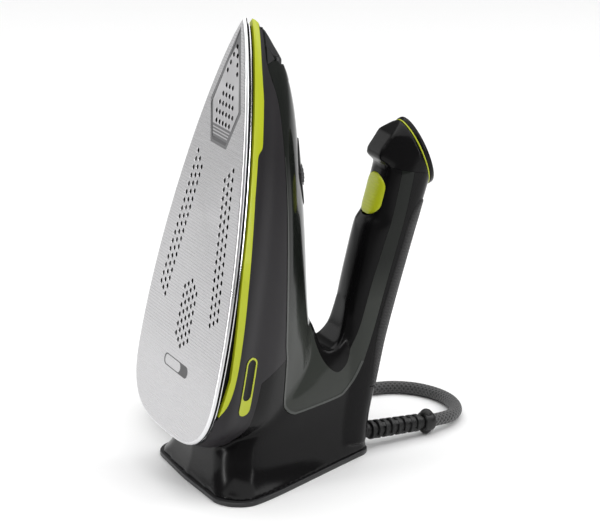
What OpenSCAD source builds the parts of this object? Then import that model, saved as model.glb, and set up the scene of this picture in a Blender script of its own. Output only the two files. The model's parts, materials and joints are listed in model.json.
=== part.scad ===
// Steam iron standing on its heel, in millimetres.
// The pieces are drawn in the ironing frame: X across, +Y towards the tip, +Z up from the
// soleplate. stand() then sets the whole iron on its heel, with the tip up and +Z vertical.

/* [Soleplate] */
// Height of the soleplate's middle above the table when the iron stands
sole_centre_h = 145; // [144:0.5:146]
// Angle that the soleplate leans back from vertical
lean = 12.3; // [12:0.1:12.6]
// Thickness of the soleplate
sole_t = 2.6; // [2.2:0.1:2.8]
// Diameter of a steam hole
steam_hole_d = 2.9; // [2.4:0.1:3.2]

/* [Housings] */
// Wall thickness of the moulded housings
wall = 2.6; // [2.2:0.1:3]
// Clearance between neighbouring pieces
gap = 0.15; // [0.1:0.01:0.2]
// Height of the base plate's lip
base_lip = 3; // [2.5:0.1:3.5]

/* [Handle] */
// Half width of the handle
grip_half_w = 16; // [15:0.25:17]
// Half length of the control cap
cap_a = 22; // [21:0.5:23]
// Half width of the control cap
cap_b = 17; // [16:0.5:18]
// Thickness of the control cap
cap_t = 3.2; // [3:0.1:4]

/* [Cord] */
// Diameter of the mains cord
cord_d = 8; // [7.5:0.1:8.5]
// Diameter of the cord guard
guard_d = 11.6; // [11:0.1:12]
// Width across the coil of spare cord
coil_w = 106; // [104:1:110]

/* [Hidden] */

guard_z = 11.5;            // height of the cord's exit
ball_y = 98;               // centre of the cord's ball joint
ball_r = 8;
valve_y = 8;
heel_shift = -46;          // moves the middle of the heel's flat to the origin
big = 400;                 // longer than any piece, for cutting shapes
round_fn = 48;
pin_clear = 0.05;          // radial clearance of a running fit

// Colours
steel = [0.78, 0.78, 0.79];
chrome = [0.9, 0.9, 0.91];
lime = [0.76, 0.8, 0.16];
shell_grey = [0.24, 0.23, 0.25];
black = [0.09, 0.09, 0.1];
smoke = [0.22, 0.23, 0.22];
insert_grey = [0.5, 0.5, 0.52];
alloy = [0.62, 0.62, 0.63];
brass = [0.8, 0.65, 0.3];

// Half-plan of the iron: [half width, tip, heel] at each height above the soleplate
widest_y = -67;
half_w_at = [[0, 57], [10, 57], [24, 51], [34, 47.5], [40, 45], [50, 39], [60, 32], [70, 25], [80, 16]];
tip_at = [[0, 130], [6, 130], [12, 127], [17, 122.5], [22.5, 116.5], [28, 110.5], [33.5, 103],
    [38.5, 93.5], [43, 82.5], [47, 70.5], [53, 52.5], [60, 28], [66, 3], [70, -14], [75, -32], [80, -46]];
heel_at = [[0, -115], [5, -115.5], [13, -116.5], [22, -116], [30, -112], [80, -111]];
heel_power = 0.625;         // below 1 squares the heel's corners

// Handle: [half width, front, back] along its length
handle_at = [[-112, 17.5, 99, 130], [-90, 17, 98.5, 128.5], [-55, 16.5, 98.5, 128.5],
    [-20, 16, 98, 130.5], [5, 16, 98.5, 132.5], [22, 16, 99.5, 134], [25, 16, 102.5, 134.2],
    [56, 17, 104.5, 136.5]];

// Side view: where one piece gives way to the next, as [y, z]
shell_top = [[140, 12.6], [109, 14.5], [88, 24], [63, 29.5], [36, 34], [-9, 40], [-44, 46], [-56, 49.5],
    [-69, 32], [-96, 31.5], [-108, 27], [-130, 24]];
band_top = [[140, 10.5], [109, 10.5], [88, 12], [65, 12], [57, 9], [36, 8.8], [-9, 10], [-43, 11.2],
    [-66, 11.4], [-80, 9.5], [-88, 5.5]];
band_low = [[-66, 8], [-43, 7], [-9, 5.6], [36, 5.8], [140, 6]];
tank_foot = [[-56, 49.5], [-82, 55], [-88, 58.5], [-90.5, 64], [-90, 70], [-83, 98], [-79, 104.5], [-72, 109],
    [-60, 112.5]];
band_back = [[-60, 112.5], [-40, 115], [-12, 117.2], [9, 119], [30, 120.5], [56, 120]];
band_front = [[56, 112.5], [30, 112.5], [12, 110.5], [-12, 108], [-40, 106], [-54, 103]];
finger_gap = [[56, 52], [30, 60], [6, 66.5], [-18, 72.5], [-36, 77], [-46, 80], [-52.5, 83], [-55, 88],
    [-53.5, 93], [-49, 96], [-44, 97.5], [-36, 98]];
lining_back = [[-36, 75], [-50, 78], [-60, 83.5], [-66, 91], [-67, 97], [-62, 102], [-54, 103]];

function bezier(a, b, c, d, t) = a * pow(1 - t, 3) + 3 * b * t * pow(1 - t, 2)
    + 3 * c * t * t * (1 - t) + d * pow(t, 3);
function flip(list) = [for (i = [len(list) - 1:-1:0]) list[i]];
// Right half of a plan outline: a curve from the tip to the widest point, then a squarish heel
function half_plan(w, tip, heel, n = 16, m = 8) = let (l = tip - widest_y) concat(
    [for (i = [0:n - 1]) bezier([0, tip], [0.37 * w, tip - 0.12 * l], [w, widest_y + 0.41 * l],
        [w, widest_y], i / n)],
    [for (i = [0:m]) [w * pow(cos(90 * i / m), heel_power),
        widest_y - (widest_y - heel) * pow(sin(90 * i / m), heel_power)]]);
function full_plan(w, tip, heel) = let (h = half_plan(w, tip, heel))
    concat(h, [for (i = [len(h) - 2:-1:1]) [-h[i][0], h[i][1]]]);
function plan_at(z, inset) = full_plan(lookup(z, half_w_at) - inset, lookup(z, tip_at) - 1.5 * inset,
    lookup(z, heel_at) + inset);
function ellipse_points(a, b, n = round_fn) = [for (i = [0:n - 1]) [a * cos(360 * i / n), b * sin(360 * i / n)]];
// Rounded triangle seen from above with the iron standing: wide at the front, narrow at the rear
function triangle(w, front, back, r = 12) = let (f = min(1.5 * r, 0.85 * w), right = concat([[0, front - 1.5]],
    [for (a = [-90:15:0]) [w - f + f * cos(a), front + f + f * sin(a)]], [[w - 1.4, front + r + 14]],
    [for (a = [15:15:90]) [r * cos(a), back - r + r * sin(a)]]))
    flip(concat(right, [for (i = [len(right) - 2:-1:1]) [-right[i][0], right[i][1]]]));
module stand() translate([0, heel_shift, sole_centre_h]) rotate([90 + lean, 0, 180]) children();
module on_table() translate([0, heel_shift, 0]) children();
// Extrudes an outline given as [y, z] across the iron
module across(width) rotate([90, 0, 90]) linear_extrude(width, center = true) children();
// A closed solid through rings of points that run clockwise seen from the last ring
module loft(rings) {
    n = len(rings[0]);
    k = len(rings);
    polyhedron(points = [for (r = rings) each r], faces = concat(
        [[for (i = [n - 1:-1:0]) i]],
        [for (j = [0:k - 2]) for (i = [0:n - 1]) let (a = j * n + i, b = j * n + (i + 1) % n)
            each [[a, b, b + n], [a, b + n, a + n]]],
        [[for (i = [0:n - 1]) (k - 1) * n + i]]));
}
// The iron's body as one solid, from the heights listed
module dome(inset, heights) loft([for (z = heights) [for (p = plan_at(z, inset)) [p[0], p[1], z]]]);
// A plate that follows the soleplate's outline
module plate(z, t, inset) translate([0, 0, z]) linear_extrude(t) polygon(plan_at(0, inset));
module plate_ring(z, t, inset, width) difference() {
    plate(z, t, inset);
    plate(z - 1, t + 2, inset + width);
}
// The handle as one solid
module handle_form(inset) loft([for (s = handle_at) let (c = (s[2] + s[3]) / 2, h = (s[3] - s[2]) / 2 - inset)
    [for (a = [0:15:345]) let (squarer = 1 + 0.08 * pow(sin(2 * a), 2))
        [-(s[1] - inset) * sin(a) * squarer, s[0], c + h * cos(a) * squarer]]]);
// The tower between the base and the handle, in standing coordinates: [height, half width, front, back, r]
tower_at = [[base_lip, 54, -9.5, 105.5, 12], [8, 48.5, -7.5, 105.5, 12], [15, 44, -5.5, 105.5, 12],
    [25, 41.5, -4, 106.5, 12], [48, 35.5, 14, 109, 12], [60, 28, 29, 111, 11], [72, 20, 44, 112.5, 10],
    [85, 13, 60, 114, 8], [98, 7, 80, 114, 5]];
module tower(inset) loft([for (s = tower_at) [for (p = triangle(s[1] - inset, s[2] + inset, s[3] - inset,
    s[4])) [p[0], p[1], s[0] - (s[0] > 90 ? inset : 0)]]]);
// Sets a shape drawn in standing coordinates into the ironing frame
module unstand() rotate([-90 - lean, 0, 0]) rotate([0, 0, 180]) translate([0, 0, -sole_centre_h]) children();

// Soleplate and what lies right behind it
hole_step = [4.184, 2.796];
strip_rows = 17;
module steam_hole(x, y) translate([x, y, -1]) cylinder(h = sole_t + 2, d = steam_hole_d, $fn = round_fn);
module centre_holes() for (i = [-2:2], j = [-10:4])
    if ((i + j) % 2 == 0 && abs(j + 3) <= 7 - abs(i)) steam_hole(i * hole_step[0], -35.5 + j * hole_step[1]);
module side_strip() for (column = [0:2], row = [0:strip_rows - 1]) let (r = row + column)
    steam_hole(25 - 5.25 * column + 1.015 * r, 47 + 1.2 * column - (5.18 - 0.07 * column) * r);
module tip_holes() {
    steam_hole(0, 113.2);
    for (i = [1:3], side = [-1, 1]) steam_hole(side * (0.4 + 2.07 * i), 113.2 - 4.95 * i);
    for (row = [0:3], i = [0:row + 2]) steam_hole(4.4 * (i - (row + 2) / 2), 90.1 - 5.35 * row);
    for (i = [-2:2]) steam_hole(4.4 * i, 68.7);
}
insert_half = [[0, 124.9], [9, 105], [21, 78.5], [10.7, 56]];
insert_t = 1;
module insert_outline(grow) polygon([for (p = concat(insert_half, [for (i = [3:-1:1]) [-insert_half[i][0],
    insert_half[i][1]]])) [p[0] + sign(p[0]) * grow, p[1] + (p[1] > 60 ? grow : -grow)]]);

module soleplate() color(steel) stand() difference() {
    union() {
        plate(0, 1, 0.8);
        plate(1, sole_t - 1, 0);
    }
    translate([0, 0, -1]) linear_extrude(1 + insert_t) insert_outline(0.1);
    centre_holes();
    side_strip();
    mirror([1, 0, 0]) side_strip();
    tip_holes();
}
module tip_insert() color(insert_grey) stand() difference() {
    linear_extrude(insert_t) insert_outline(0);
    tip_holes();
}
module sole_gasket() color(black) stand() plate_ring(sole_t, 0.8, 2.4, 3);
module skirt_frame() color(chrome) stand() plate_ring(sole_t + 0.8, 0.8, 1, 5);
module heat_shield() color(black) stand() intersection() {
    plate_ring(sole_t + 1.6, 6, 2.9, 2.4);
    across(big) polygon(concat([[-88, 3], [-88, 5.3]], [for (p = band_low) [p[0], p[1] - 0.2]], [[140, 3]]));
}
band_heights = [0, 5, 10, 16];
module skirt_band() color(lime) stand() intersection() {
    difference() {
        dome(0.2, band_heights);
        dome(wall + 0.2, [-1, 5, 10, 17]);
    }
    across(big) polygon(concat(band_top, band_low));
}
shell_heights = [4.4, 13, 22, 30, 38, 46, 54];
module body_shell() color(shell_grey) stand() difference() {
    dome(0.2, shell_heights);
    dome(wall + 0.2, [4, 13, 22, 30, 38, 46, 56]);
    across(big) polygon(concat(shell_top, [[-130, 90], [140, 90]]));
    across(big) polygon(concat([for (p = band_top) [p[0], p[1] + gap]], [[-90, 6], [-90, -10], [140, -10]]));
    nozzle_bore();
}

// Tank: the smoky walls over the body, round the finger gap and up the sides of the handle
tank_heights = [14, 20, 26, 32, 38, 44, 50, 56, 62, 68, 74, 79];
module gap_cutter() across(big) polygon(concat(finger_gap, [[120, 98], [160, 98], [160, 52]]));
module tank_region() across(big) polygon(concat([for (i = [0:7]) shell_top[i] + [0, gap]], tank_foot,
    [[-54.2, 102.9], [-44, 97.5], [160, 97.5]]));
door_outline = [[0, 135], [6.5, 129], [6.5, 118], [3.2, 109.3], [-3.2, 109.3], [-6.5, 118], [-6.5, 129]];
module door_prism(clear, back = 0) translate([0, 0, 14.6 - clear]) linear_extrude(40)
    polygon([for (p = door_outline) [p[0] + sign(p[0]) * clear, p[1] - (p[1] < 110 ? back : 0)]]);
dial_centre = [0, 46, 54.2];
dial_tilt = -16.6;
module dial_frame() translate(dial_centre) rotate([dial_tilt, 0, 0]) children();
module tank_outer(inset, heights = tank_heights) {
    dome(inset + 0.2, heights);
    unstand() tower(inset);
}
module hinge_ears() intersection() {
    dome(0.6, nose_heights);
    for (side = [-1, 1]) translate([side * 5.1, 110, 25]) cube([2, 5, 6], center = true);
}
module water_tank() color(smoke) stand() difference() {
    union() {
        tank_shell();
        hinge_ears();
    }
    door_pin_bore(0.8);
}
module tank_shell() difference() {
    intersection() {
        tank_outer(0);
        tank_region();
    }
    intersection() {
        tank_outer(wall);
        across(big) polygon([[150, 0], [-86, 0], [-86, 60], [-80, 98], [-72, 101], [-66, 99], [-69, 90], [-66, 84],
            [-56, 78], [-36, 74], [150, 70]]);
    }
    gap_cutter();
    across(big) polygon(concat(lining_back, [[-44, 97.5], [-36, 97.4], [-30, 90], [-30, 76]]));
    door_prism(0.3, 2.7);
    door_hinge(0.4);
    dial_frame() cylinder(h = 26, r = bezel_r + 0.2, center = true, $fn = round_fn);
}
seal_line = [for (i = [1:7]) shell_top[i]];
floor_line = concat(seal_line, [[-82, 55], [-86, 58]]);
floor_heights = [14, 26, 38, 50, 62];
module strip(line, low, high) across(big) polygon(concat([for (p = line) p + [0, high]],
    [for (p = flip(line)) p + [0, low]]));
module tank_floor() color(insert_grey) stand() difference() {
    union() {
        intersection() {
            tank_outer(wall + 2 * gap, floor_heights);
            strip(floor_line, 1, 3);
        }
        dial_frame() translate([0, 0, -23]) cylinder(h = 13.8, r = 5.5, $fn = round_fn);
    }
    dial_frame() translate([0, 0, -40]) cylinder(h = 50, r = 4, $fn = round_fn);
    translate([0, valve_y, 20]) cylinder(h = 40, r = 2.1, $fn = round_fn);
}
module tank_seal() color(black) stand() intersection() {
    difference() {
        dome(wall + 0.5, floor_heights);
        dome(wall + 3, floor_heights);
    }
    strip(seal_line, -0.9, 0.95);
}
module handle_shell(inset, thick) difference() {
    handle_form(inset);
    handle_form(inset + thick);
}
module tank_handle_band() color(smoke) stand() intersection() {
    handle_shell(0, wall);
    across(big) polygon(concat([for (p = band_back) p - [0, gap]], band_front));
}

// Rear housing: the heel, the tower and the back of the handle
tower_heights = [30.5, 38, 46, 54, 60];
housing_top = concat([[56.5, 150], [56.5, 120.2]], [for (p = flip(band_back)) p + [0, gap]],
    [for (p = flip(tank_foot)) p + [-gap, p[1] > 95 ? gap : -gap]],
    [for (i = [8:11]) shell_top[i] + [-gap, gap]]);
module housing_region() across(big) polygon(concat(housing_top, [[-200, 24], [-200, 150]]));
module housing_front_region() across(big) polygon([[-109, 24.2], [-200, 24.2], [-200, -30], [-100, -30], [-100, 24.2]]);
module housing_form(inset, grip_inset = 0) {
    unstand() tower(inset);
    handle_form(inset + grip_inset);
    dome(inset + 0.2, tower_heights);
}
grip_edge = [[-76, 121], [-40, 118], [-12, 120], [12, 122.5], [30, 124.5], [40, 129]];
grip_skin = 2;
module grip_region(clear) across(big) polygon(concat([for (p = grip_edge) p - [0, clear]],
    [[40 + clear, 150], [-76 - clear, 150]]));
housing_cavity = [[-76, 36], [-64, 44], [-84, 50.5], [-92, 54.5], [-95, 62], [-94.5, 70], [-87.5, 98], [-83, 108],
    [-74, 113], [-60, 114], [-56, 108], [70, 108], [70, 140], [-112, 140], [-141, 124], [-136, 30], [-112, 34],
    [-96, 36.5]];
module rear_housing() color(black) stand() difference() {
    union() {
        difference() {
            intersection() {
                housing_form(0);
                union() {
                    housing_region();
                    housing_front_region();
                }
            }
            dome(-0.2, [-30, 4, 13, 22, 30.3]);
            intersection() {
                housing_form(wall, grip_skin);
                across(big) polygon(housing_cavity);
            }
        }
        unstand() {
            translate([-11, ball_y - 10, base_lip]) cube([22, 15.5, 18]);
            for (p = screw_places) translate([p[0], p[1], base_lip]) cylinder(h = 9, r = 3.6, $fn = round_fn);
        }
    }
    difference() {
        grip_region(gap);
        handle_form(grip_skin + gap);
        across(big) polygon([[-78, 0], [-200, 0], [-200, 200], [-78, 200]]);
    }
    unstand() {
        translate([0, ball_y, guard_z]) sphere(r = ball_r + 0.4, $fn = round_fn);
        translate([-7.8, ball_y, guard_z - 4.8]) cube([15.6, 16, 9.6]);
        translate([0, ball_y - 14, guard_z]) rotate([-90, 0, 0]) cylinder(h = 12, r = 4.5, $fn = round_fn);
        for (p = screw_places) translate([p[0], p[1], 0]) cylinder(h = 9, r = 1.65, $fn = round_fn);
    }
    translate([-30, -100, 26]) cube([60, 9, 14]);
    above_cap_plane(0);
    cap_opening();
}
module rear_grip() color(shell_grey) stand() intersection() {
    handle_shell(0, grip_skin);
    grip_region(0);
    across(big) polygon([[-76, 100], [40, 100], [40, 150], [-76, 150]]);
}
module base_plate() color(shell_grey) on_table() difference() {
    linear_extrude(base_lip - 0.05) polygon(triangle(55, -10.5, 106.5));
    for (p = screw_places) translate([p[0], p[1], -1]) {
        cylinder(h = 10, r = 1.7, $fn = round_fn);
        cylinder(h = 2.4, r = 3.4, $fn = round_fn);
    }
}
screw_places = [[-38, 8], [38, 8], [-10, 86], [10, 86]];
module screw(head_r, head_t, shank_r, length) {
    cylinder(h = head_t, r = head_r, $fn = round_fn);
    translate([0, 0, head_t]) cylinder(h = length, r = shank_r, $fn = round_fn);
}
module base_screws() color(steel) on_table() for (p = screw_places)
    translate([p[0], p[1], 0.2]) screw(3.1, 1.2, 1.6, 1.4);

// Finger grip, trigger and steam pump
trigger_y = [25.5, 50.5];
trigger_half_w = 10.5;
trigger_pivot = [50, 110];
pump_y = 31;
pin_r = 1.5;
grip_side = concat([for (p = lining_back) p + [gap, gap * (p[1] > 100 ? -1 : 1)]],
    [for (p = flip(band_front)) p - [0, gap]], [[56, 60], [-30, 60]]);
module grip_lining() intersection() {
    tank_outer(0);
    across(big) polygon(concat([for (i = [4:9]) finger_gap[i]], [[-54, 104], [-90, 104], [-90, 60]]));
}
module grip_front() color(black) stand() intersection() {
    difference() {
        union() {
            grip_lining();
            handle_shell(0, wall);
        }
        translate([-trigger_half_w - 0.4, trigger_y[0] - 1.2, 94])
            cube([2 * trigger_half_w + 0.8, trigger_y[1] - trigger_y[0] + 1.6, 20]);
        trigger_pin_bore(pin_r);
    }
    across(big) polygon(grip_side);
}
module trigger_pin_bore(r, half_l = 20) translate([-half_l, trigger_pivot[0], trigger_pivot[1]])
    rotate([0, 90, 0]) cylinder(h = 2 * half_l, r = r, $fn = round_fn);
module trigger() color(lime) stand() difference() {
    union() {
        intersection() {
            difference() {
                handle_form(-0.6);
                handle_form(2.4);
            }
            translate([-trigger_half_w, trigger_y[0], 95])
                cube([2 * trigger_half_w, trigger_y[1] - trigger_y[0], 17]);
        }
        translate([-3, trigger_pivot[0] - 6, 104.5]) cube([6, 6.4, 5.5]);
        translate([-3, trigger_pivot[0], trigger_pivot[1]]) rotate([0, 90, 0]) cylinder(h = 6, r = 2.8, $fn = round_fn);
    }
    trigger_pin_bore(pin_r + pin_clear);
}
module trigger_pin() color(steel) stand() trigger_pin_bore(pin_r, 12);
module coil_spring(r, wire, z0, z1, turns) for (i = [0:turns - 1])
    translate([0, 0, z0 + wire + i * (z1 - z0 - 2 * wire) / (turns - 1)])
        rotate_extrude($fn = round_fn) translate([r, 0]) circle(r = wire, $fn = 16);
flange_z = 106.3;
pump_z = 113;
module pump_piston() color(insert_grey) stand() translate([0, pump_y, flange_z]) {
    cylinder(h = 1, r = 4, $fn = round_fn);
    translate([0, 0, 1]) cylinder(h = 11, r = 2.5, $fn = round_fn);
}
module pump_spring() color(steel) stand() translate([0, pump_y, 0])
    coil_spring(3.4, 0.35, flange_z + 1.1, pump_z - 0.1, 4);
module pump_body() color(insert_grey) stand() difference() {
    union() {
        translate([0, pump_y, pump_z]) cylinder(h = 11, r = 6, $fn = round_fn);
        translate([0, pump_y - 8, 120]) rotate([90, 0, 0]) cylinder(h = 3, r = 2, $fn = round_fn);
        translate([0, pump_y - 4, 120]) rotate([90, 0, 0]) cylinder(h = 5, r = 2.6, $fn = round_fn);
    }
    translate([0, pump_y, pump_z - 1]) cylinder(h = 9, r = 2.5 + pin_clear, $fn = round_fn);
}
// Direction of a route at point i, a ring of points around it, and the tube along the route
function heading(p, i) = let (d = p[min(i + 1, len(p) - 1)] - p[max(i - 1, 0)]) d / norm(d);
function route_ring(c, d, r, n, ref) = let (side = cross(d, ref) / norm(cross(d, ref)), up = cross(side, d))
    [for (k = [0:n - 1]) c + r * (side * sin(360 * k / n) + up * cos(360 * k / n))];
module tube(route, r, ref = [0, 0, 1], n = 10) loft([for (i = [0:len(route) - 1])
    route_ring(route[i], heading(route, i), r, n, ref)]);
module pump_hose() color(insert_grey) stand()
    tube([[0, 20, 120], [0, 12, 121], [0, 0, 123], [0, -60, 120], [0, -88, 115], [0, -97, 104], [0, -99, 60],
        [0, -97, 38], [0, -92, 31], [0, -82, 28], [0, -66, 28], [0, -61.5, 26.5], [0, -60, 22]], 1.9, [1, 0, 0]);

// Head of the handle with its control cap
cap_centre = [0, 67, 128];
cap_tilt = -33.6;
ring_t = 0.8;
module cap_frame() translate(cap_centre) rotate([cap_tilt, 0, 0]) children();
module above_cap_plane(clear) cap_frame() translate([-40, -60, -cap_t - ring_t - clear]) cube([80, 120, 40]);
module cap_opening() cap_frame() translate([0, 0, -cap_t - ring_t - 1.6]) linear_extrude(3)
    polygon(ellipse_points(cap_b - wall, cap_a - wall));
module head_form(inset) hull() {
    cap_frame() translate([0, 0, -cap_t - ring_t - 1.05]) linear_extrude(1)
        polygon(ellipse_points(cap_b - inset, cap_a - inset));
    translate([inset - 9, 60 + inset, 99.5 + inset]) cube([18 - 2 * inset, 4 - inset, 3]);
    translate([inset - 10, 72 - inset, 105 + inset]) cube([20 - 2 * inset, 3, 3]);
    translate([0, 56.2, 120.5]) rotate([-90, 0, 0]) linear_extrude(1)
        polygon(ellipse_points(17 - inset, 16 - inset));
}
button_y = 9;
selector_y = -8;
module handle_head() color(black) stand() difference() {
    head_form(0);
    head_form(wall);
    translate([0, 56.5, 119]) rotate([-90, 0, 0]) cylinder(h = 6, r = 13, center = true, $fn = round_fn);
    above_cap_plane(0);
    cap_opening();
    translate([-40, 16.1, 80]) cube([80, 40, 80]);
}
module control_cap() color(black) stand() cap_frame() difference() {
    translate([0, 0, -cap_t]) linear_extrude(cap_t) polygon(ellipse_points(cap_b, cap_a));
    translate([0, button_y, -10]) cylinder(h = 20, r = 5.3, $fn = round_fn);
    translate([-10.5, selector_y - 2.8, -10]) cube([21, 5.6, 20]);
}
module cap_ring() color(lime) stand() cap_frame() translate([0, 0, -cap_t - ring_t]) linear_extrude(ring_t - 0.05)
    difference() {
        polygon(ellipse_points(cap_b + 0.2, cap_a + 0.2));
        polygon(ellipse_points(cap_b - wall, cap_a - wall));
    }
button_travel = 2.5;
module spray_button() color(shell_grey) stand() cap_frame() translate([0, button_y, 0]) {
    translate([0, 0, -4.4]) cylinder(h = 5.4, r = 5, $fn = round_fn);
    translate([0, 0, -5.4]) cylinder(h = 1, r = 6.2, $fn = round_fn);
    translate([0, 0, -14]) cylinder(h = 9, r = 2.4, $fn = round_fn);
}
module spray_spring() color(steel) stand() cap_frame() translate([0, button_y, 0])
    coil_spring(3.5, 0.3, -9.9, -5.5, 3);
module spray_pump() color(insert_grey) stand() cap_frame() translate([0, button_y, 0]) difference() {
    translate([0, 0, -18]) cylinder(h = 8, r = 5, $fn = round_fn);
    translate([0, 0, -16.8]) cylinder(h = 10, r = 2.4 + pin_clear, $fn = round_fn);
}
selector_travel = 12;
module steam_selector() color(shell_grey) stand() cap_frame()
    translate([-selector_travel / 2, selector_y, 0]) {
        translate([-4, -2.4, -3.4]) cube([8, 4.8, 4.6]);
        translate([-4.5, -3.5, -4.6]) cube([9, 7, 1.3]);
    }

// Front of the body: fill door, spray nozzle and finger grips beside the door
door_pivot = [109.8, 24];
knuckle_r = 1.9;
module door_hinge(clear) translate([-3.5 - clear, door_pivot[0], door_pivot[1]]) rotate([0, 90, 0])
    cylinder(h = 7 + 2 * clear, r = knuckle_r + clear, $fn = round_fn);
module door_pin_bore(r, half_l = 10) translate([-half_l, door_pivot[0], door_pivot[1]]) rotate([0, 90, 0])
    cylinder(h = 2 * half_l, r = r, $fn = round_fn);
nose_heights = [14, 17, 20, 24, 28, 33];
trim_heights = [14, 17, 20, 24];
module nose_skin(outer, inner, heights) difference() {
    dome(outer, heights);
    dome(inner, heights);
}
module fill_door() color(shell_grey) stand() difference() {
    union() {
        intersection() {
            nose_skin(0.2, 2.2, nose_heights);
            door_prism(0);
        }
        door_hinge(0);
    }
    door_pin_bore(0.8 + pin_clear);
}
module door_pin() color(steel) stand() door_pin_bore(0.8, 5.6);
trim_outline = [[117, 14.9], [109.5, 22], [107.3, 15.2]];
module nose_trim() color(insert_grey) stand() intersection() {
    nose_skin(-0.3, 0.15, trim_heights);
    across(big) polygon(trim_outline);
}
nozzle_r = 1.4;
module nozzle_frame() translate([0, 121, 12.2]) rotate([-90, 0, 0]) children();
module nozzle_bore() nozzle_frame() cylinder(h = 12, r = nozzle_r, $fn = round_fn);
module spray_nozzle() color(black) stand() nozzle_frame() difference() {
    cylinder(h = 6.6, r = nozzle_r, $fn = round_fn);
    translate([0, 0, -1]) cylinder(h = 12, r = 0.5, $fn = round_fn);
}

// Temperature dial on the spine, with its thermostat on the heater
bezel_r = 12.6;
dial_r = 9.5;
spindle_r = 2.5;
bezel_heights = [38, 44, 50, 56, 62, 68];
module dial_bezel() color(black) stand() difference() {
    union() {
        difference() {
            intersection() {
                dome(-1.2, bezel_heights);
                dial_frame() linear_extrude(40, center = true) polygon(ellipse_points(11.8, 20));
            }
            dome(0.1, bezel_heights);
        }
        intersection() {
            dome(-1.2, bezel_heights);
            dial_frame() translate([0, 0, -9]) cylinder(h = 20, r = bezel_r, $fn = round_fn);
        }
    }
    dial_frame() translate([0, 0, -5.5]) cylinder(h = 20, r = dial_r + 0.35, $fn = round_fn);
    dial_frame() translate([0, 0, -20]) cylinder(h = 20, r = spindle_r + pin_clear, $fn = round_fn);
}
module temperature_dial() color(shell_grey) stand() dial_frame() {
    difference() {
        translate([0, 0, -5.2]) cylinder(h = 4, r = dial_r, $fn = round_fn);
        for (a = [0:15:345]) rotate(a) translate([dial_r + 0.35, 0, -4]) cylinder(h = 8, r = 0.8, $fn = round_fn);
    }
    translate([0, 0, -29.5]) cylinder(h = 25, r = spindle_r, $fn = round_fn);
}
module thermostat() color(alloy) stand() dial_frame() difference() {
    union() {
        translate([-10, -7, -37.5]) cube([20, 14, 6]);
        translate([0, 0, -31.5]) cylinder(h = 5, r = 5, $fn = round_fn);
    }
    translate([0, 0, -30]) cylinder(h = 10, r = spindle_r + pin_clear, $fn = round_fn);
}

// Heater and steam chamber above the soleplate
casting_t = 9.4;
casting_top = sole_t + casting_t;
chamber_r = 15;
chamber_y = [-66, 15];
element_x = 26;
element_r = 3.3;
element_y = [-84, 20];
cover_screw_places = [for (x = [-18, 18], y = [-66, -26, 15]) [x, y]];
module stadium(r) {
    translate([0, chamber_y[1]]) circle(r = r, $fn = round_fn);
    translate([0, chamber_y[0]]) circle(r = r, $fn = round_fn);
    translate([-r, chamber_y[0]]) square([2 * r, chamber_y[1] - chamber_y[0]]);
}
module element_form(r) translate([0, 0, casting_top]) {
    for (x = [-element_x, element_x]) translate([x, element_y[0], 0]) rotate([-90, 0, 0])
        cylinder(h = element_y[1] - element_y[0], r = r, $fn = round_fn);
    intersection() {
        translate([0, element_y[1], 0]) rotate_extrude($fn = round_fn) translate([element_x, 0]) circle(r = r, $fn = 32);
        translate([-50, element_y[1], -10]) cube([100, 60, 20]);
    }
}
module heater_casting() color(alloy) stand() difference() {
    plate(sole_t, casting_t, 6.5);
    translate([0, 0, casting_top - 6]) linear_extrude(10) stadium(chamber_r);
    element_form(element_r + 0.1);
    for (x = [-element_x, element_x]) translate([x, element_y[0], casting_top]) rotate([90, 0, 0])
        cylinder(h = 30, r = element_r + 0.1, $fn = round_fn);
    for (p = cover_screw_places) translate([p[0], p[1], casting_top - 5]) cylinder(h = 10, r = 1.3, $fn = round_fn);
}
module heating_element() color(steel) stand() element_form(element_r);
module element_terminals() color(brass) stand() for (x = [-element_x, element_x])
    translate([x, element_y[0], casting_top]) rotate([90, 0, 0]) {
        cylinder(h = 8, r = 1.8, $fn = round_fn);
        translate([-0.5, -0.5, 8]) cube([1, 7, 4]);
    }
module chamber_gasket() color(black) stand() translate([0, 0, casting_top]) linear_extrude(1) difference() {
    stadium(chamber_r + 6);
    stadium(chamber_r);
    for (p = cover_screw_places) translate(p) circle(r = 1.5, $fn = round_fn);
}
inlet_y = -60;
module chamber_cover() color(alloy) stand() difference() {
    union() {
        translate([0, 0, casting_top + 1]) linear_extrude(1.5) stadium(chamber_r + 6);
        translate([0, inlet_y, casting_top + 2]) cylinder(h = 8, r = 3, $fn = round_fn);
    }
    translate([0, inlet_y, casting_top]) cylinder(h = 12, r = 1.5, $fn = round_fn);
    translate([0, valve_y, casting_top]) cylinder(h = 12, r = 2.1, $fn = round_fn);
    for (p = cover_screw_places) translate([p[0], p[1], casting_top]) cylinder(h = 10, r = 1.5, $fn = round_fn);
}
module cover_screws() color(steel) stand() for (p = cover_screw_places)
    translate([p[0], p[1], casting_top + 4]) mirror([0, 0, 1]) screw(2.5, 1.5, 1.25, 6);
module dosing_valve() color(insert_grey) stand() translate([0, valve_y, casting_top + 2.5]) {
    cylinder(h = 14, r = 5, $fn = round_fn);
    cylinder(h = 27, r = 2, $fn = round_fn);
}
module thermal_fuse() color(insert_grey) stand() translate([-7, -91, casting_top + 3.1]) rotate([0, 90, 0])
    cylinder(h = 14, r = 3, $fn = round_fn);
block_y = 54;
block_z = 16;
module terminal_block() color(insert_grey) stand() unstand() difference() {
    translate([-11, block_y, block_z]) cube([22, 12, 12]);
    for (x = [-7, 0, 7]) translate([x, block_y + 6, block_z - 1]) cylinder(h = 14, r = 1.6, $fn = round_fn);
}
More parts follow.
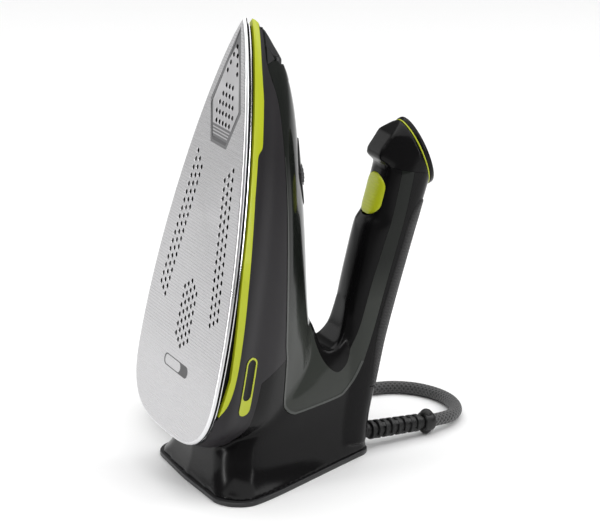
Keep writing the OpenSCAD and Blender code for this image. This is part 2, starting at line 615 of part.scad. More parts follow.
module lead_wires() color(lime) stand() for (side = [-1, 1])
    tube([[side * 7, -105.4, 84.4], [side * 7, -99.5, 82], [side * 8, -97.5, 76], [side * 12, -97, 60],
        [side * 23, -96, 42], [side * element_x, -95.6, 32], [side * element_x, -95.6, 19.5]], 1.1, [1, 0, 0], 8);

// Badges on the sides of the shell
badge_line = [[-53, 21.5], [-88, 22.8]];
badge_r = 4.2;
function pill(from, to, r) = let (tilt = atan2(to[1] - from[1], to[0] - from[0])) concat(
    [for (a = [-90:15:90]) to + r * [cos(tilt + a), sin(tilt + a)]],
    [for (a = [90:15:270]) from + r * [cos(tilt + a), sin(tilt + a)]]);
badge_heights = [13, 22, 30];
module badge_skin() difference() {
    dome(-0.2, badge_heights);
    dome(0.15, badge_heights);
}
inset_line = [badge_line[0] + [-badge_r, 0], badge_line[0] + [-22.5, 0.8]];
module side_badges() color(lime) stand() intersection() {
    badge_skin();
    across(big) difference() {
        polygon(pill(badge_line[0] + [-badge_r, 0], badge_line[1] + [badge_r, 0], badge_r));
        polygon(pill(inset_line[0], inset_line[1], badge_r - 1.1));
    }
}
module badge_insets() color(black) stand() intersection() {
    badge_skin();
    across(big) polygon(pill(inset_line[0], inset_line[1], badge_r - 1.15));
}

// Cord exit: ball joint, bend guard and collar, seen with the iron standing
ball_centre = [0, ball_y, guard_z];
guard_end = [-6, 155, 8];
guard_reach = norm(guard_end - ball_centre);
neck_l = 11.5;
collar_l = 7;
rib_pitch = 4.7;
module along_guard(d) let (v = guard_end - ball_centre)
    translate(ball_centre) rotate([0, acos(v[2] / norm(v)), atan2(v[1], v[0])]) translate([0, 0, d]) children();
module cord_swivel() color(black) on_table() along_guard(0) {
    sphere(r = ball_r, $fn = round_fn);
    cylinder(h = neck_l, r = 4.2, $fn = round_fn);
}
module cord_guard() color(black) on_table() along_guard(neck_l) {
    cylinder(h = guard_reach - neck_l - collar_l, r = guard_d / 2 - 1, $fn = round_fn);
    for (i = [0:7]) translate([0, 0, i * rib_pitch]) cylinder(h = 2.6, r = guard_d / 2, $fn = round_fn);
}
module guard_collar() color(black) on_table() along_guard(guard_reach - collar_l)
    cylinder(h = collar_l, r = guard_d / 2 + 0.4, $fn = round_fn);

// Cord, on the table: the visible stretch, the coil of spare cord, and the end with the plug
cord_route = [[-6.1, 110.2, 7.9], [-11.5, 124.5, 6.5], [-22.5, 135, 5.2], [-38.5, 140.5, 4.4], [-55, 139.5, 4],
    [-69.5, 132, 4], [-79, 119.5, 4], [-82, 104.5, 4], [-82.5, 95, 4], [-85.5, 81, 4], [-94, 70, 4],
    [-104, 64, 4]];
coil_centre = [-89, 18];
coil_h = 3 * cord_d;
end_route = [[-103, 56.5, 28], [-120.5, 44.5, 28], [-129.5, 25, 28], [-127.5, 4, 28], [-118, -11, 28],
    [-103, -20.5, 28], [-85.5, -22, 28], [-72, -16.5, 28.2], [-62, -5.5, 28.7], [-57.4, 11.4, 31]];
module cord() color(black) tube(cord_route, cord_d / 2);
module cord_end() color(black) tube(end_route, cord_d / 2);
module cord_coil() color(black) translate(coil_centre) rotate_extrude($fn = 96)
    translate([coil_w / 2 - 2 * cord_d, 0]) square([2 * cord_d, coil_h]);
plug_r = 15;
plug_l = 42;
plug_rise = 17;
module plug_frame() translate(end_route[len(end_route) - 1]) rotate([plug_rise - 90, 0, 0]) children();
module plug_body() color(black) plug_frame() difference() {
    rotate_extrude($fn = round_fn) polygon([[0, 0], [4.8, 0], [5.6, 12], [8.5, 14], [12, 22], [plug_r, 29],
        [plug_r, plug_l], [0, plug_l]]);
    for (x = [-plug_r - 1, plug_r - 1.5]) translate([x, -3, 31]) cube([2.5, 6, plug_l]);
}
module plug_pins() color(chrome) plug_frame() for (x = [-9.5, 9.5]) translate([x, 0, plug_l]) {
    cylinder(h = 17, r = 2.4, $fn = round_fn);
    translate([0, 0, 17]) sphere(r = 2.4, $fn = round_fn);
}

soleplate();
tip_insert();
sole_gasket();
skirt_frame();
heat_shield();
skirt_band();
body_shell();
rear_housing();
base_plate();
base_screws();
water_tank();
tank_handle_band();
tank_floor();
tank_seal();
nose_trim();
spray_nozzle();
fill_door();
door_pin();
grip_front();
rear_grip();
handle_head();
control_cap();
cap_ring();
spray_button();
spray_spring();
spray_pump();
steam_selector();
trigger();
trigger_pin();
pump_piston();
pump_spring();
pump_body();
pump_hose();
dial_bezel();
temperature_dial();
thermostat();
heater_casting();
heating_element();
element_terminals();
chamber_gasket();
chamber_cover();
cover_screws();
dosing_valve();
thermal_fuse();
terminal_block();
lead_wires();
side_badges();
badge_insets();
cord_swivel();
cord_guard();
guard_collar();
cord();
cord_coil();
cord_end();
plug_body();
plug_pins();
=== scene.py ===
"""Steam iron standing on its heel: camera, cord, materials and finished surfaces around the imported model.

Shapes are built in millimetres, in one of two frames:
  IRON   x across, +y towards the tip, +z up from the soleplate, as the iron is used
  TABLE  the model's own frame, with the floor at z = 0
finish_piece() turns them into metres in the model's frame and sets them on their body.
"""

import json
import math

import bmesh
import bpy
import numpy as np
from mathutils import Matrix, Vector


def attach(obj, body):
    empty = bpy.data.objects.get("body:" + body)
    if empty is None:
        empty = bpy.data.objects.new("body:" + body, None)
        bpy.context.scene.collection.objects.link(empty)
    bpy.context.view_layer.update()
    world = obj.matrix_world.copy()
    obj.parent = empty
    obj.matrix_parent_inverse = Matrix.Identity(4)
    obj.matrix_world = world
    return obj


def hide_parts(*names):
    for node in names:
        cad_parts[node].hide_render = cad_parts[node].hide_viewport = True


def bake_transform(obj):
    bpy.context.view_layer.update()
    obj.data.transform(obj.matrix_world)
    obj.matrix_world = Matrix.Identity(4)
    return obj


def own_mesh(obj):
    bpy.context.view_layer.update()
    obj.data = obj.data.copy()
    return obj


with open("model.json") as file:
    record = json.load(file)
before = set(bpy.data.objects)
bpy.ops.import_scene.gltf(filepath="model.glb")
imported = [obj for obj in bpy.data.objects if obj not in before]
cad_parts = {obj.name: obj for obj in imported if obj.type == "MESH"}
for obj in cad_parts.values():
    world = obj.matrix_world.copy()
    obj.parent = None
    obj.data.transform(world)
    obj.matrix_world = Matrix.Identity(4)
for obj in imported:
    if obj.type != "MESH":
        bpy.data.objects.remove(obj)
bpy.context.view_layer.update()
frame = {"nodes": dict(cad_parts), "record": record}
nodes = frame["nodes"]
scene = bpy.context.scene
collection = scene.collection

LEAN = math.radians(12.3)
S, C = math.sin(LEAN), math.cos(LEAN)
HEEL_SHIFT, SOLE_H = -46.0, 145.0
IRON = Matrix(((-1, 0, 0, 0), (0, S, C, HEEL_SHIFT), (0, C, -S, SOLE_H), (0, 0, 0, 1)))
TABLE = Matrix.Identity(4)
MM = Matrix.Scale(0.001, 4)
LINE_PITCH, DASH_PITCH = 1.8e-3, 1.5e-3
YARNS, YARN_PITCH, BRAIDED_L = 8, 3.2, 230

# ------------------------------------------------ camera
CAMERA_AZIMUTH, CAMERA_ELEVATION = 64.792, 17.356
CAMERA_AT = (1.31139, -0.60010, 0.57402)


def way_at(azimuth, elevation):
    """Direction of a camera or light from the model, in degrees. Azimuth 0 is the front, 90 the right side."""
    a, e = math.radians(azimuth), math.radians(elevation)
    return Vector((math.sin(a) * math.cos(e), -math.cos(a) * math.cos(e), math.sin(e)))


back = way_at(CAMERA_AZIMUTH, CAMERA_ELEVATION)
right = Vector((math.cos(math.radians(CAMERA_AZIMUTH)), math.sin(math.radians(CAMERA_AZIMUTH)), 0))
camera = bpy.data.objects.new("camera", bpy.data.cameras.new("camera"))
collection.objects.link(camera)
camera.data.lens, camera.data.sensor_width = 156, 36
place = Matrix((right, back.cross(right), back)).transposed().to_4x4()
place.translation = CAMERA_AT
camera.matrix_world = place
scene.camera = camera


# ------------------------------------------------ small maths
def pchip(points):
    """Smooth curve through (x, y) points with no overshoot, constant beyond its ends."""
    x, y = np.array(points, float).T
    h, d = np.diff(x), np.diff(y) / np.diff(x)
    m = np.zeros_like(y)
    for i in range(1, len(x) - 1):
        if d[i - 1] * d[i] > 0:
            a, b = 2 * h[i] + h[i - 1], h[i] + 2 * h[i - 1]
            m[i] = (a + b) / (a / d[i - 1] + b / d[i])
    m[0], m[-1] = d[0], d[-1]

    def at(value):
        v = min(max(value, x[0]), x[-1])
        i = min(max(int(np.searchsorted(x, v)) - 1, 0), len(x) - 2)
        t = (v - x[i]) / h[i]
        return ((1 + 2 * t) * (1 - t) ** 2 * y[i] + t * (1 - t) ** 2 * h[i] * m[i]
                + t * t * (3 - 2 * t) * y[i + 1] + t * t * (t - 1) * h[i] * m[i + 1])

    return at


def curve_through(points, steps):
    """Catmull-Rom curve through the points, with evenly timed steps between each two."""
    p = np.array(points, float)
    n = len(p)
    out = []
    for i in range(n - 1):
        a, b, c, d = (p[min(max(i + k, 0), n - 1)] for k in (-1, 0, 1, 2))
        for t in np.arange(steps) / steps:
            out.append(0.5 * (2 * b + (c - a) * t + (2 * a - 5 * b + 4 * c - d) * t * t
                              + (3 * b - a - 3 * c + d) * t ** 3))
    return np.array(out + [p[-1]])


def resample(path, spacing):
    path = np.array(path, float)
    run = np.concatenate([[0], np.cumsum(np.linalg.norm(np.diff(path, axis=0), axis=1))])
    count = max(2, int(round(run[-1] / spacing)) + 1)
    want = np.linspace(0, run[-1], count)
    return np.stack([np.interp(want, run, path[:, k]) for k in range(path.shape[1])], 1)


def unstand(p):
    """A point of the standing iron (y counted from the heel's middle + 46) in the IRON frame."""
    x, y, z = p[..., 0], p[..., 1], p[..., 2] - SOLE_H
    return np.stack([-x, S * y + C * z, C * y - S * z], -1)


def put(x, y, z, turn=0.0, axis="X"):
    """A place, turned by degrees about one axis."""
    return Matrix.Translation((x, y, z)) @ Matrix.Rotation(math.radians(turn), 4, axis)


def ellipse(a, b, n=96):
    t = 2 * math.pi * np.arange(n) / n
    return np.column_stack([a * np.cos(t), b * np.sin(t)])


# ------------------------------------------------ mesh helpers
def mesh_object(name, verts, faces):
    data = bpy.data.meshes.new(name)
    data.from_pydata([tuple(map(float, v)) for v in verts], [], [tuple(map(int, f)) for f in faces])
    data.update()
    ob = bpy.data.objects.new(name, data)
    collection.objects.link(ob)
    return ob


def from_bmesh(name, bm):
    data = bpy.data.meshes.new(name)
    bm.to_mesh(data)
    bm.free()
    ob = bpy.data.objects.new(name, data)
    collection.objects.link(ob)
    return ob


def outward(ob):
    """Turns the faces of a closed mesh so that they look outwards."""
    bm = bmesh.new()
    bm.from_mesh(ob.data)
    bmesh.ops.recalc_face_normals(bm, faces=bm.faces)
    if bm.calc_volume(signed=True) < 0:
        bmesh.ops.reverse_faces(bm, faces=bm.faces)
    bm.to_mesh(ob.data)
    bm.free()
    return ob


def loft(name, rings, closed_along=False):
    """A solid through rings of as many points each, capped at its ends unless it closes on itself."""
    n, k = len(rings[0]), len(rings)
    verts = np.concatenate([np.array(r, float) for r in rings])
    faces = []
    for j in range(k if closed_along else k - 1):
        a0, b0 = j * n, ((j + 1) % k) * n
        for i in range(n):
            i2 = (i + 1) % n
            faces.append((a0 + i, a0 + i2, b0 + i2, b0 + i))
    if not closed_along:
        faces.append(tuple(range(n - 1, -1, -1)))
        faces.append(tuple((k - 1) * n + i for i in range(n)))
    return outward(mesh_object(name, verts, faces))


def raised_outline(outline, heights):
    """Rings of the (x, y) outline at each height."""
    o = np.array(outline, float)
    return [np.column_stack([o, np.full(len(o), float(z))]) for z in heights]


def prism(name, outline, span=(-200.0, 200.0), axis="x"):
    """An outline of (y, z) extruded across the iron, or of (x, y) extruded upwards, over the span."""
    o = np.array(outline, float)
    if axis == "x":
        return loft(name, [np.column_stack([np.full(len(o), x), o]) for x in span])
    return loft(name, raised_outline(o, span))


def two_sided(name, outer, inside):
    """A closed sheet made of two grids of points, outer in front and inside behind it."""
    rows, cols = len(outer), len(outer[0])
    k = rows * cols
    faces = []
    for j in range(rows - 1):
        for i in range(cols - 1):
            q = (j * cols + i, j * cols + i + 1, (j + 1) * cols + i + 1, (j + 1) * cols + i)
            faces += [q, tuple(k + v for v in q[::-1])]
        for i, flip in ((0, 1), (cols - 1, 0)):
            q = (j * cols + i, (j + 1) * cols + i, k + (j + 1) * cols + i, k + j * cols + i)
            faces.append(q[::-1] if flip else q)
    for j, flip in ((0, 0), (rows - 1, 1)):
        for i in range(cols - 1):
            q = (j * cols + i, j * cols + i + 1, k + j * cols + i + 1, k + j * cols + i)
            faces.append(q[::-1] if flip else q)
    return outward(mesh_object(name, np.concatenate(outer + inside), faces))


def baked(ob):
    """Applies the modifiers of ob to its mesh."""
    bpy.context.view_layer.update()
    data = bpy.data.meshes.new_from_object(ob.evaluated_get(bpy.context.evaluated_depsgraph_get()))
    old = ob.data
    ob.modifiers.clear()
    ob.data = data
    bpy.data.meshes.remove(old)
    return ob


def remove(*obs):
    for ob in obs:
        bpy.data.objects.remove(ob)


def copy(ob, name):
    twin = ob.copy()
    twin.data = ob.data.copy()
    twin.name = name
    collection.objects.link(twin)
    return twin


def boolean(ob, other, how):
    """Joins other to ob, cuts it out or keeps what they share. The other shape is used up."""
    m = ob.modifiers.new("cut", "BOOLEAN")
    m.operation, m.object, m.solver = how, other, "MANIFOLD"
    baked(ob)
    remove(other)
    return ob


def cut(ob, other):
    return boolean(ob, other, "DIFFERENCE")


def keep(ob, other):
    return boolean(ob, other, "INTERSECT")


def weld(ob, other):
    return boolean(ob, other, "UNION")


def voxel(ob, size, smooth=0):
    m = ob.modifiers.new("remesh", "REMESH")
    m.mode, m.voxel_size = "VOXEL", size
    if smooth:
        s = ob.modifiers.new("smooth", "SMOOTH")
        s.factor, s.iterations = 0.5, smooth
    return baked(ob)


def join(name, obs):
    verts, faces, base = [], [], 0
    for ob in obs:
        v = np.zeros(len(ob.data.vertices) * 3, np.float32)
        ob.data.vertices.foreach_get("co", v)
        verts.append(v.reshape(-1, 3))
        faces += [tuple(base + i for i in p.vertices) for p in ob.data.polygons]
        base += len(ob.data.vertices)
    remove(*obs)
    return mesh_object(name, np.concatenate(verts), faces)


def finish_piece(ob, name, slot, paint=None, replaced=None, body="iron", space=IRON, crease=32, blend=None):
    """Sets a finished shape in the model's frame, in metres, on its body.

    paint names a material where the slot's own doesn't suit. A piece with a CAD node's name replaces that node.
    """
    ob.name = name
    ob.data.name = name
    ob.data.transform(MM @ space)
    ob.data.shade_smooth()
    if crease:
        ob.data.set_sharp_from_angle(angle=math.radians(crease))
    ob.data.materials.clear()
    ob.data.materials.append(materials[paint or slot])
    if blend:
        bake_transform(ob)
    else:
        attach(ob, body)
    if replaced is None:
        replaced = (name,) if name in nodes else ()
    if replaced:
        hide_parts(*replaced)
    return ob


# ------------------------------------------------ materials
def new_material(name, **settings):
    """A material with its node tree and shader; settings are the shader's plain values, with _ for a space."""
    m = bpy.data.materials.new(name)
    m.use_nodes = True
    shader = m.node_tree.nodes["Principled BSDF"]
    for key, value in settings.items():
        shader.inputs[key.replace("_", " ")].default_value = value
    return m, m.node_tree, shader


def add(tree, kind, **values):
    node = tree.nodes.new(kind)
    for k, v in values.items():
        if hasattr(node, k):
            setattr(node, k, v)
        else:
            node.inputs[k.replace("_", " ")].default_value = v
    return node


def noise(tree, scale, detail=3):
    coords = add(tree, "ShaderNodeTexCoord")
    n = add(tree, "ShaderNodeTexNoise", Scale=scale, Detail=detail)
    tree.links.new(coords.outputs["Object"], n.inputs["Vector"])
    return n.outputs["Fac"]


def maths(tree, operation, *values):
    """A maths node over sockets and numbers."""
    node = add(tree, "ShaderNodeMath", operation=operation)
    for socket, value in zip(node.inputs, values):
        if isinstance(value, bpy.types.NodeSocket):
            tree.links.new(value, socket)
        else:
            socket.default_value = value
    return node.outputs[0]


def spread(tree, source, *limits, **how):
    """Maps source from the first two limits onto the last two."""
    node = add(tree, "ShaderNodeMapRange", **how)
    for key, value in zip(("From Min", "From Max", "To Min", "To Max"), limits):
        node.inputs[key].default_value = value
    tree.links.new(source, node.inputs["Value"])
    return node.outputs["Result"]


def ranged(tree, source, low, high, into):
    tree.links.new(spread(tree, source, 0.3, 0.7, low, high), into)


def tinted(tree, source, dark, light, into, ends=(0.3, 0.7)):
    ramp = add(tree, "ShaderNodeValToRGB")
    for element, at, colour in zip(ramp.color_ramp.elements, ends, (dark, light)):
        element.position, element.color = at, (*colour, 1)
    tree.links.new(source, ramp.inputs["Fac"])
    tree.links.new(ramp.outputs["Color"], into)
    return ramp.outputs["Color"]


def bump(tree, height, strength, distance, shader, under=None):
    b = add(tree, "ShaderNodeBump", Strength=strength, Distance=distance)
    tree.links.new(height, b.inputs["Height"])
    if under is not None:
        tree.links.new(under.outputs["Normal"], b.inputs["Normal"])
    tree.links.new(b.outputs["Normal"], shader.inputs["Normal"])
    return b


def moulded(name, colour, rough, grain=0.0006, grain_depth=0.00001, coat=0.0, metal=0.0, vary=0.12,
            specular=0.5):
    """Moulded plastic or plain metal: slightly uneven colour and gloss, and a fine grain."""
    m, tree, shader = new_material(name, Metallic=metal, Coat_Weight=coat, Coat_Roughness=0.04,
                                   Specular_IOR_Level=specular)
    broad = noise(tree, 22, 4)
    tinted(tree, broad, [c * (1 - vary) for c in colour], [min(1, c * (1 + vary)) for c in colour],
           shader.inputs["Base Color"])
    ranged(tree, broad, rough * 0.85, rough * 1.2, shader.inputs["Roughness"])
    bump(tree, noise(tree, 1 / grain, 2), 0.25, grain_depth, shader)
    return m


def brushed(name, colour, rough, lines=False):
    """Steel brushed across, with fine pressed lines across it where it slides on cloth."""
    m, tree, shader = new_material(name, Metallic=1.0, Anisotropic=0.45)
    coords = add(tree, "ShaderNodeTexCoord")
    dot = add(tree, "ShaderNodeVectorMath", operation="DOT_PRODUCT")
    dot.inputs[1].default_value = (0, S, C)
    tree.links.new(coords.outputs["Object"], dot.inputs[0])
    split = add(tree, "ShaderNodeSeparateXYZ")
    tree.links.new(coords.outputs["Object"], split.inputs[0])
    across, upwards = split.outputs["X"], dot.outputs["Value"]
    streak_at = add(tree, "ShaderNodeCombineXYZ")
    tree.links.new(maths(tree, "MULTIPLY", across, 25), streak_at.inputs[0])
    tree.links.new(maths(tree, "MULTIPLY", upwards, 2600), streak_at.inputs[1])
    noise_node = add(tree, "ShaderNodeTexNoise", Scale=1.0, Detail=3)
    tree.links.new(streak_at.outputs[0], noise_node.inputs["Vector"])
    streaks = noise_node.outputs["Fac"]
    tint = tinted(tree, streaks, [c * 0.93 for c in colour], colour, shader.inputs["Base Color"])
    ranged(tree, streaks, rough * 0.85, rough * 1.25, shader.inputs["Roughness"])
    brushing = bump(tree, streaks, 0.12, 0.00001, shader)
    if lines:
        # the lines stop above the heel, and are broken into short dashes
        wave = maths(tree, "SINE", maths(tree, "MULTIPLY", upwards, 2 * math.pi / LINE_PITCH))
        groove = maths(tree, "SUBTRACT", 1.0, spread(tree, wave, 0.72, 1.0, 1.0, 0.0))
        above_heel = spread(tree, upwards, 0.052, 0.075, 0.0, 1.0)
        dash_wave = maths(tree, "SINE", maths(tree, "MULTIPLY", across, 2 * math.pi / DASH_PITCH))
        dash = spread(tree, dash_wave, -0.7, -0.2, 0.25, 1.0)
        pressed = maths(tree, "MULTIPLY", maths(tree, "MULTIPLY", groove, above_heel), dash)
        # the colour is darkened by half inside the pressed grooves, as painted shade in them
        mix = add(tree, "ShaderNodeMix", data_type="RGBA")
        mix_factor, mix_a, mix_b = mix.inputs[0], mix.inputs[6], mix.inputs[7]
        mix_b.default_value = (*[c * 0.5 for c in colour], 1)
        tree.links.new(maths(tree, "MULTIPLY", pressed, 0.75), mix_factor)
        tree.links.new(tint, mix_a)
        tree.links.new(mix.outputs[2], shader.inputs["Base Color"])
        bump(tree, maths(tree, "SUBTRACT", 1.0, pressed), 0.5, 0.00006, shader, brushing)
    return m


def woven(name):
    """Tight textile braid: two crossing sets of yarns wound round the cord, in the tube's own coordinates."""
    m, tree, shader = new_material(name, Roughness=0.62, Sheen_Weight=0.25)
    uv = add(tree, "ShaderNodeUVMap")
    uv.uv_map = "UVMap"
    split = add(tree, "ShaderNodeSeparateXYZ")
    tree.links.new(uv.outputs[0], split.inputs[0])

    def yarns(sign):
        turn = maths(tree, "MULTIPLY", split.outputs["Y"], sign * YARNS * 2 * math.pi)
        run = maths(tree, "MULTIPLY_ADD", split.outputs["X"], 2 * math.pi / (YARN_PITCH / 1000), turn)
        return maths(tree, "SINE", run)

    top = maths(tree, "MAXIMUM", yarns(1), yarns(-1))
    mixed = maths(tree, "MULTIPLY_ADD", noise(tree, 3500, 3), 0.5, top)
    # colour darker in the low parts between the yarns as painted shade, and varied at random by the noise
    tinted(tree, mixed, (0.006, 0.006, 0.006), (0.055, 0.055, 0.056), shader.inputs["Base Color"], (0.1, 1.0))
    bump(tree, mixed, 0.6, 0.00025, shader)
    return m


def smoked(name):
    """Smoked tank plastic: dark and glossy, with painted light showing through it that makes it paler towards the
    foot of the tank.
    """
    m, tree, shader = new_material(name, Roughness=0.12, IOR=1.5, Transmission_Weight=0.0, Specular_IOR_Level=0.18)
    place = add(tree, "ShaderNodeTexCoord")
    split = add(tree, "ShaderNodeSeparateXYZ")
    tree.links.new(place.outputs["Object"], split.inputs[0])
    # paler lower down: painted light showing through the smoked plastic, with random clouds added to it
    painted_glow_level = spread(tree, split.outputs["Z"], 0.135, 0.066, 0.12, 0.95, interpolation_type="SMOOTHSTEP")
    cloud_and_painted_glow = maths(tree, "MULTIPLY_ADD", noise(tree, 14, 3), 0.3, painted_glow_level)
    tinted(tree, cloud_and_painted_glow, (0.009, 0.0105, 0.009), (0.034, 0.037, 0.033), shader.inputs["Base Color"])
    bump(tree, noise(tree, 900, 2), 0.1, 0.000004, shader)
    return m


STEEL = (0.56, 0.555, 0.565)
RUBBER = {"grain": 0.0005, "grain_depth": 0.00003, "specular": 0.35}
materials = {"smoked_clear": smoked("smoked_clear"), "cord_braid": woven("cord_braid")}
for paint, make, colour, rough, more in (
        ("sole_steel", brushed, STEEL, 0.27, {"lines": True}),
        ("insert_grey", brushed, (0.22, 0.22, 0.225), 0.42, {}),
        # brighter steel for the sole's rounded rim: a painted highlight
        ("bright_rim", moulded, (0.72, 0.72, 0.73), 0.3, {"metal": 1.0, "vary": 0.02}),
        # paler smoke for the tank's rim: a painted highlight along its edge
        ("rim_smoke", moulded, (0.05, 0.054, 0.05), 0.2, {"specular": 0.35}),
        ("panel_silver", brushed, STEEL, 0.34, {}),
        ("panel_dark", moulded, (0.06, 0.06, 0.062), 0.4, {"specular": 0.4}),
        ("seal_black", moulded, (0.008, 0.008, 0.008), 0.6, {"specular": 0.2}),
        ("chrome_trim", moulded, (0.7, 0.7, 0.71), 0.12, {"metal": 1.0, "vary": 0.03}),
        ("shield_black", moulded, (0.004, 0.004, 0.004), 0.55, {"specular": 0.1}),
        ("lime_plastic", moulded, (0.43, 0.48, 0.012), 0.32, {"coat": 0.1, "vary": 0.04, "specular": 0.35}),
        ("shell_black", moulded, (0.0175, 0.016, 0.018), 0.38, {"specular": 0.2}),
        ("gloss_black", moulded, (0.0042, 0.004, 0.0043), 0.2, {"specular": 0.13}),
        ("base_grey", moulded, (0.022, 0.022, 0.023), 0.3, {"specular": 0.35}),
        ("grip_black", moulded, (0.012, 0.0115, 0.012), 0.45, {**RUBBER, "grain": 0.0004}),
        ("control_grey", moulded, (0.06, 0.06, 0.063), 0.4, {}),
        ("inner_plastic", moulded, (0.40, 0.40, 0.41), 0.5, {}),
        ("cast_alloy", moulded, (0.16, 0.155, 0.15), 0.6, {"grain": 0.0012, "grain_depth": 0.00008, "metal": 1.0}),
        ("steel_parts", moulded, (0.62, 0.62, 0.63), 0.25, {"metal": 1.0, "vary": 0.05}),
        ("brass_parts", moulded, (0.72, 0.55, 0.22), 0.25, {"metal": 1.0, "vary": 0.08}),
        ("wire_sleeve", moulded, (0.50, 0.50, 0.12), 0.5, {}),
        ("guard_rubber", moulded, (0.007, 0.007, 0.0073), 0.38, RUBBER),
        ("plug_black", moulded, (0.01, 0.01, 0.01), 0.4, RUBBER),
        ("plug_metal", moulded, (0.75, 0.73, 0.68), 0.2, {"metal": 1.0, "vary": 0.03})):
    materials[paint] = make(paint, colour, rough, **more)
slots = {sub["node"]: sub["material_slot"] for sub in frame["record"]["subparts"]}
for node, slot in slots.items():
    for entry in nodes[node].material_slots:
        entry.material = materials[slot]
nodes["door_pin"].material_slots[0].material = materials["panel_dark"]

# the springs shorten with their keys, so a copy of each stands for the rigid part
for node, joint, way, travel in (("spray_spring", "spray_press", (0, -0.931691, -0.363251), 0.0025),
                                 ("pump_spring", "pump_stroke", (0, C, -S), 0.0022)):
    coil = bpy.data.objects.new(node + "_coil", nodes[node].data.copy())
    collection.objects.link(coil)
    coil.data.transform(nodes[node].matrix_world)
    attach(coil, "iron")
    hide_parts(node)
    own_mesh(coil)

# ------------------------------------------------ cord
CORD_D = 8.0
cord_route = [(-6.1, 110.2, 7.9), (-11.5, 124.5, 6.5), (-22.5, 135, 5.2), (-38.5, 140.5, 4.4), (-55, 139.5, 4),
              (-69.5, 132, 4), (-79, 119.5, 4), (-82, 104.5, 4), (-82.5, 95, 4), (-85.5, 81, 4), (-94, 70, 4),
              (-104, 64, 4)]
end_route = [(-120.5, 44.5, 28), (-129.5, 25, 28), (-127.5, 4, 28), (-118, -11, 28), (-103, -20.5, 28),
             (-85.5, -22, 28), (-72, -16.5, 28.2), (-62, -5.5, 28.7), (-57.4, 11.4, 31)]
coil_centre = (-89.0, 18.0)
collar_end, ball = Vector((-6, 109, 8)), Vector((0, 52, 11.5))
guard_way = (collar_end - ball).normalized()
turns = [(48.8, 4.1), (40.6, 4.1), (40.6, 12.1), (48.8, 12.1), (48.8, 20.1), (40.6, 20.1), (41, 28)]


def coil_points():
    """Turns wound side by side and on each other, each passing to the next in its first fifth."""
    out, start = [], 118
    for k, (radius, height) in enumerate(turns):
        before = turns[k - 1] if k else (radius, height)
        for step in range(18 if k < len(turns) - 1 else 2):
            t = min(1.0, step * 20 / 120)
            t = t * t * (3 - 2 * t)
            r, z = before[0] + (radius - before[0]) * t, before[1] + (height - before[1]) * t
            a = math.radians(start + 20 * step)
            out.append((coil_centre[0] + r * math.cos(a), coil_centre[1] + r * math.sin(a), z))
    return out


near = [tuple(collar_end - 2.0 * guard_way)] + cord_route
near_path = resample(curve_through(near + coil_points()[:1], 10), 0.55)
far_path = resample(curve_through([near[-1]] + coil_points() + end_route, 10), 3.0)
joint_at = int(np.argmin(np.linalg.norm(near_path - np.array(near[-1]), axis=1)))
cord_path = np.concatenate([near_path[:joint_at], far_path])


def tube_mesh(name, path, radius, sides, shape=None):
    """A closed tube along the path, with texture coordinates in metres along and 0 to 1 round it."""
    path = np.array(path, float)
    way = np.gradient(path, axis=0)
    way /= np.linalg.norm(way, axis=1)[:, None]
    side = np.cross(way[0], (0, 0, 1.0))
    rings, frames = [], []
    for w in way:
        side = side - w * np.dot(side, w)
        side /= np.linalg.norm(side)
        frames.append((side.copy(), np.cross(side, w)))
    run = np.concatenate([[0], np.cumsum(np.linalg.norm(np.diff(path, axis=0), axis=1))])
    a = 2 * math.pi * np.arange(sides) / sides
    for p, (u, v), s in zip(path, frames, run):
        r = radius + (shape(s, a) if shape else np.zeros(sides))
        rings.append(p + r[:, None] * (np.cos(a)[:, None] * u + np.sin(a)[:, None] * v))
    n, k = sides, len(rings)
    verts = np.concatenate(rings)
    faces = [(j * n + i, j * n + (i + 1) % n, (j + 1) * n + (i + 1) % n, (j + 1) * n + i)
             for j in range(k - 1) for i in range(n)]
    coords = [c for j in range(k - 1) for i in range(n)
              for c in ((run[j], i / n), (run[j], (i + 1) / n), (run[j + 1], (i + 1) / n), (run[j + 1], i / n))]
    faces += [tuple(range(n - 1, -1, -1)), tuple((k - 1) * n + i for i in range(n))]
    ob = mesh_object(name, verts, faces)
    uv = ob.data.uv_layers.new(name="UVMap")
    flat = np.zeros((len(ob.data.loops), 2), np.float32)
    flat[:len(coords)] = np.array(coords, np.float32) * (0.001, 1)
    uv.data.foreach_set("uv", flat.ravel())
    if signed_volume(ob) < 0:
        ob.data.flip_normals()
    return ob


def signed_volume(ob):
    bm = bmesh.new()
    bm.from_mesh(ob.data)
    v = bm.calc_volume(signed=True)
    bm.free()
    return v


def braid(s, a):
    """Height of the yarns at s along the cord and a round it; only the seen part has them in its shape."""
    if s > BRAIDED_L:
        return np.zeros_like(a)
    wind = 2 * math.pi * s / YARN_PITCH
    return 0.13 * (np.maximum(np.sin(YARNS * a + wind), np.sin(-YARNS * a + wind)) - 0.4)


cord = tube_mesh("mains_cord", cord_path, CORD_D / 2 - 0.1, 48, braid)
finish_piece(cord, "mains_cord", "cord_braid", replaced=("cord", "cord_coil", "cord_end"), space=TABLE, crease=0,
             blend=("iron", "cord_joint", (-0.060, 0.100, 0.006), (-0.0122, 0.1221, 0.006)))


def along(origin, way):
    """Frame with its z along way, from origin."""
    z = Vector(way).normalized()
    x = Vector((0, 0, 1)).cross(z).normalized()
    m = Matrix((x, z.cross(x), z)).transposed().to_4x4()
    m.translation = origin
    return m


def revolve(name, profile, sides=64):
    """A solid of (radius, height) points turned about z."""
    return loft(name, [ring for r, z in profile for ring in raised_outline(ellipse(r, r, sides), [z])])


def box_mesh(name, low, high, bevel=0.0, segments=3):
    bm = bmesh.new()
    bmesh.ops.create_cube(bm, size=1)
    for v in bm.verts:
        v.co = [(low[k] + high[k]) / 2 + v.co[k] * (high[k] - low[k]) for k in range(3)]
    if bevel:
        bmesh.ops.bevel(bm, geom=bm.edges[:], offset=bevel, segments=segments, profile=0.5, affect="EDGES")
    return from_bmesh(name, bm)


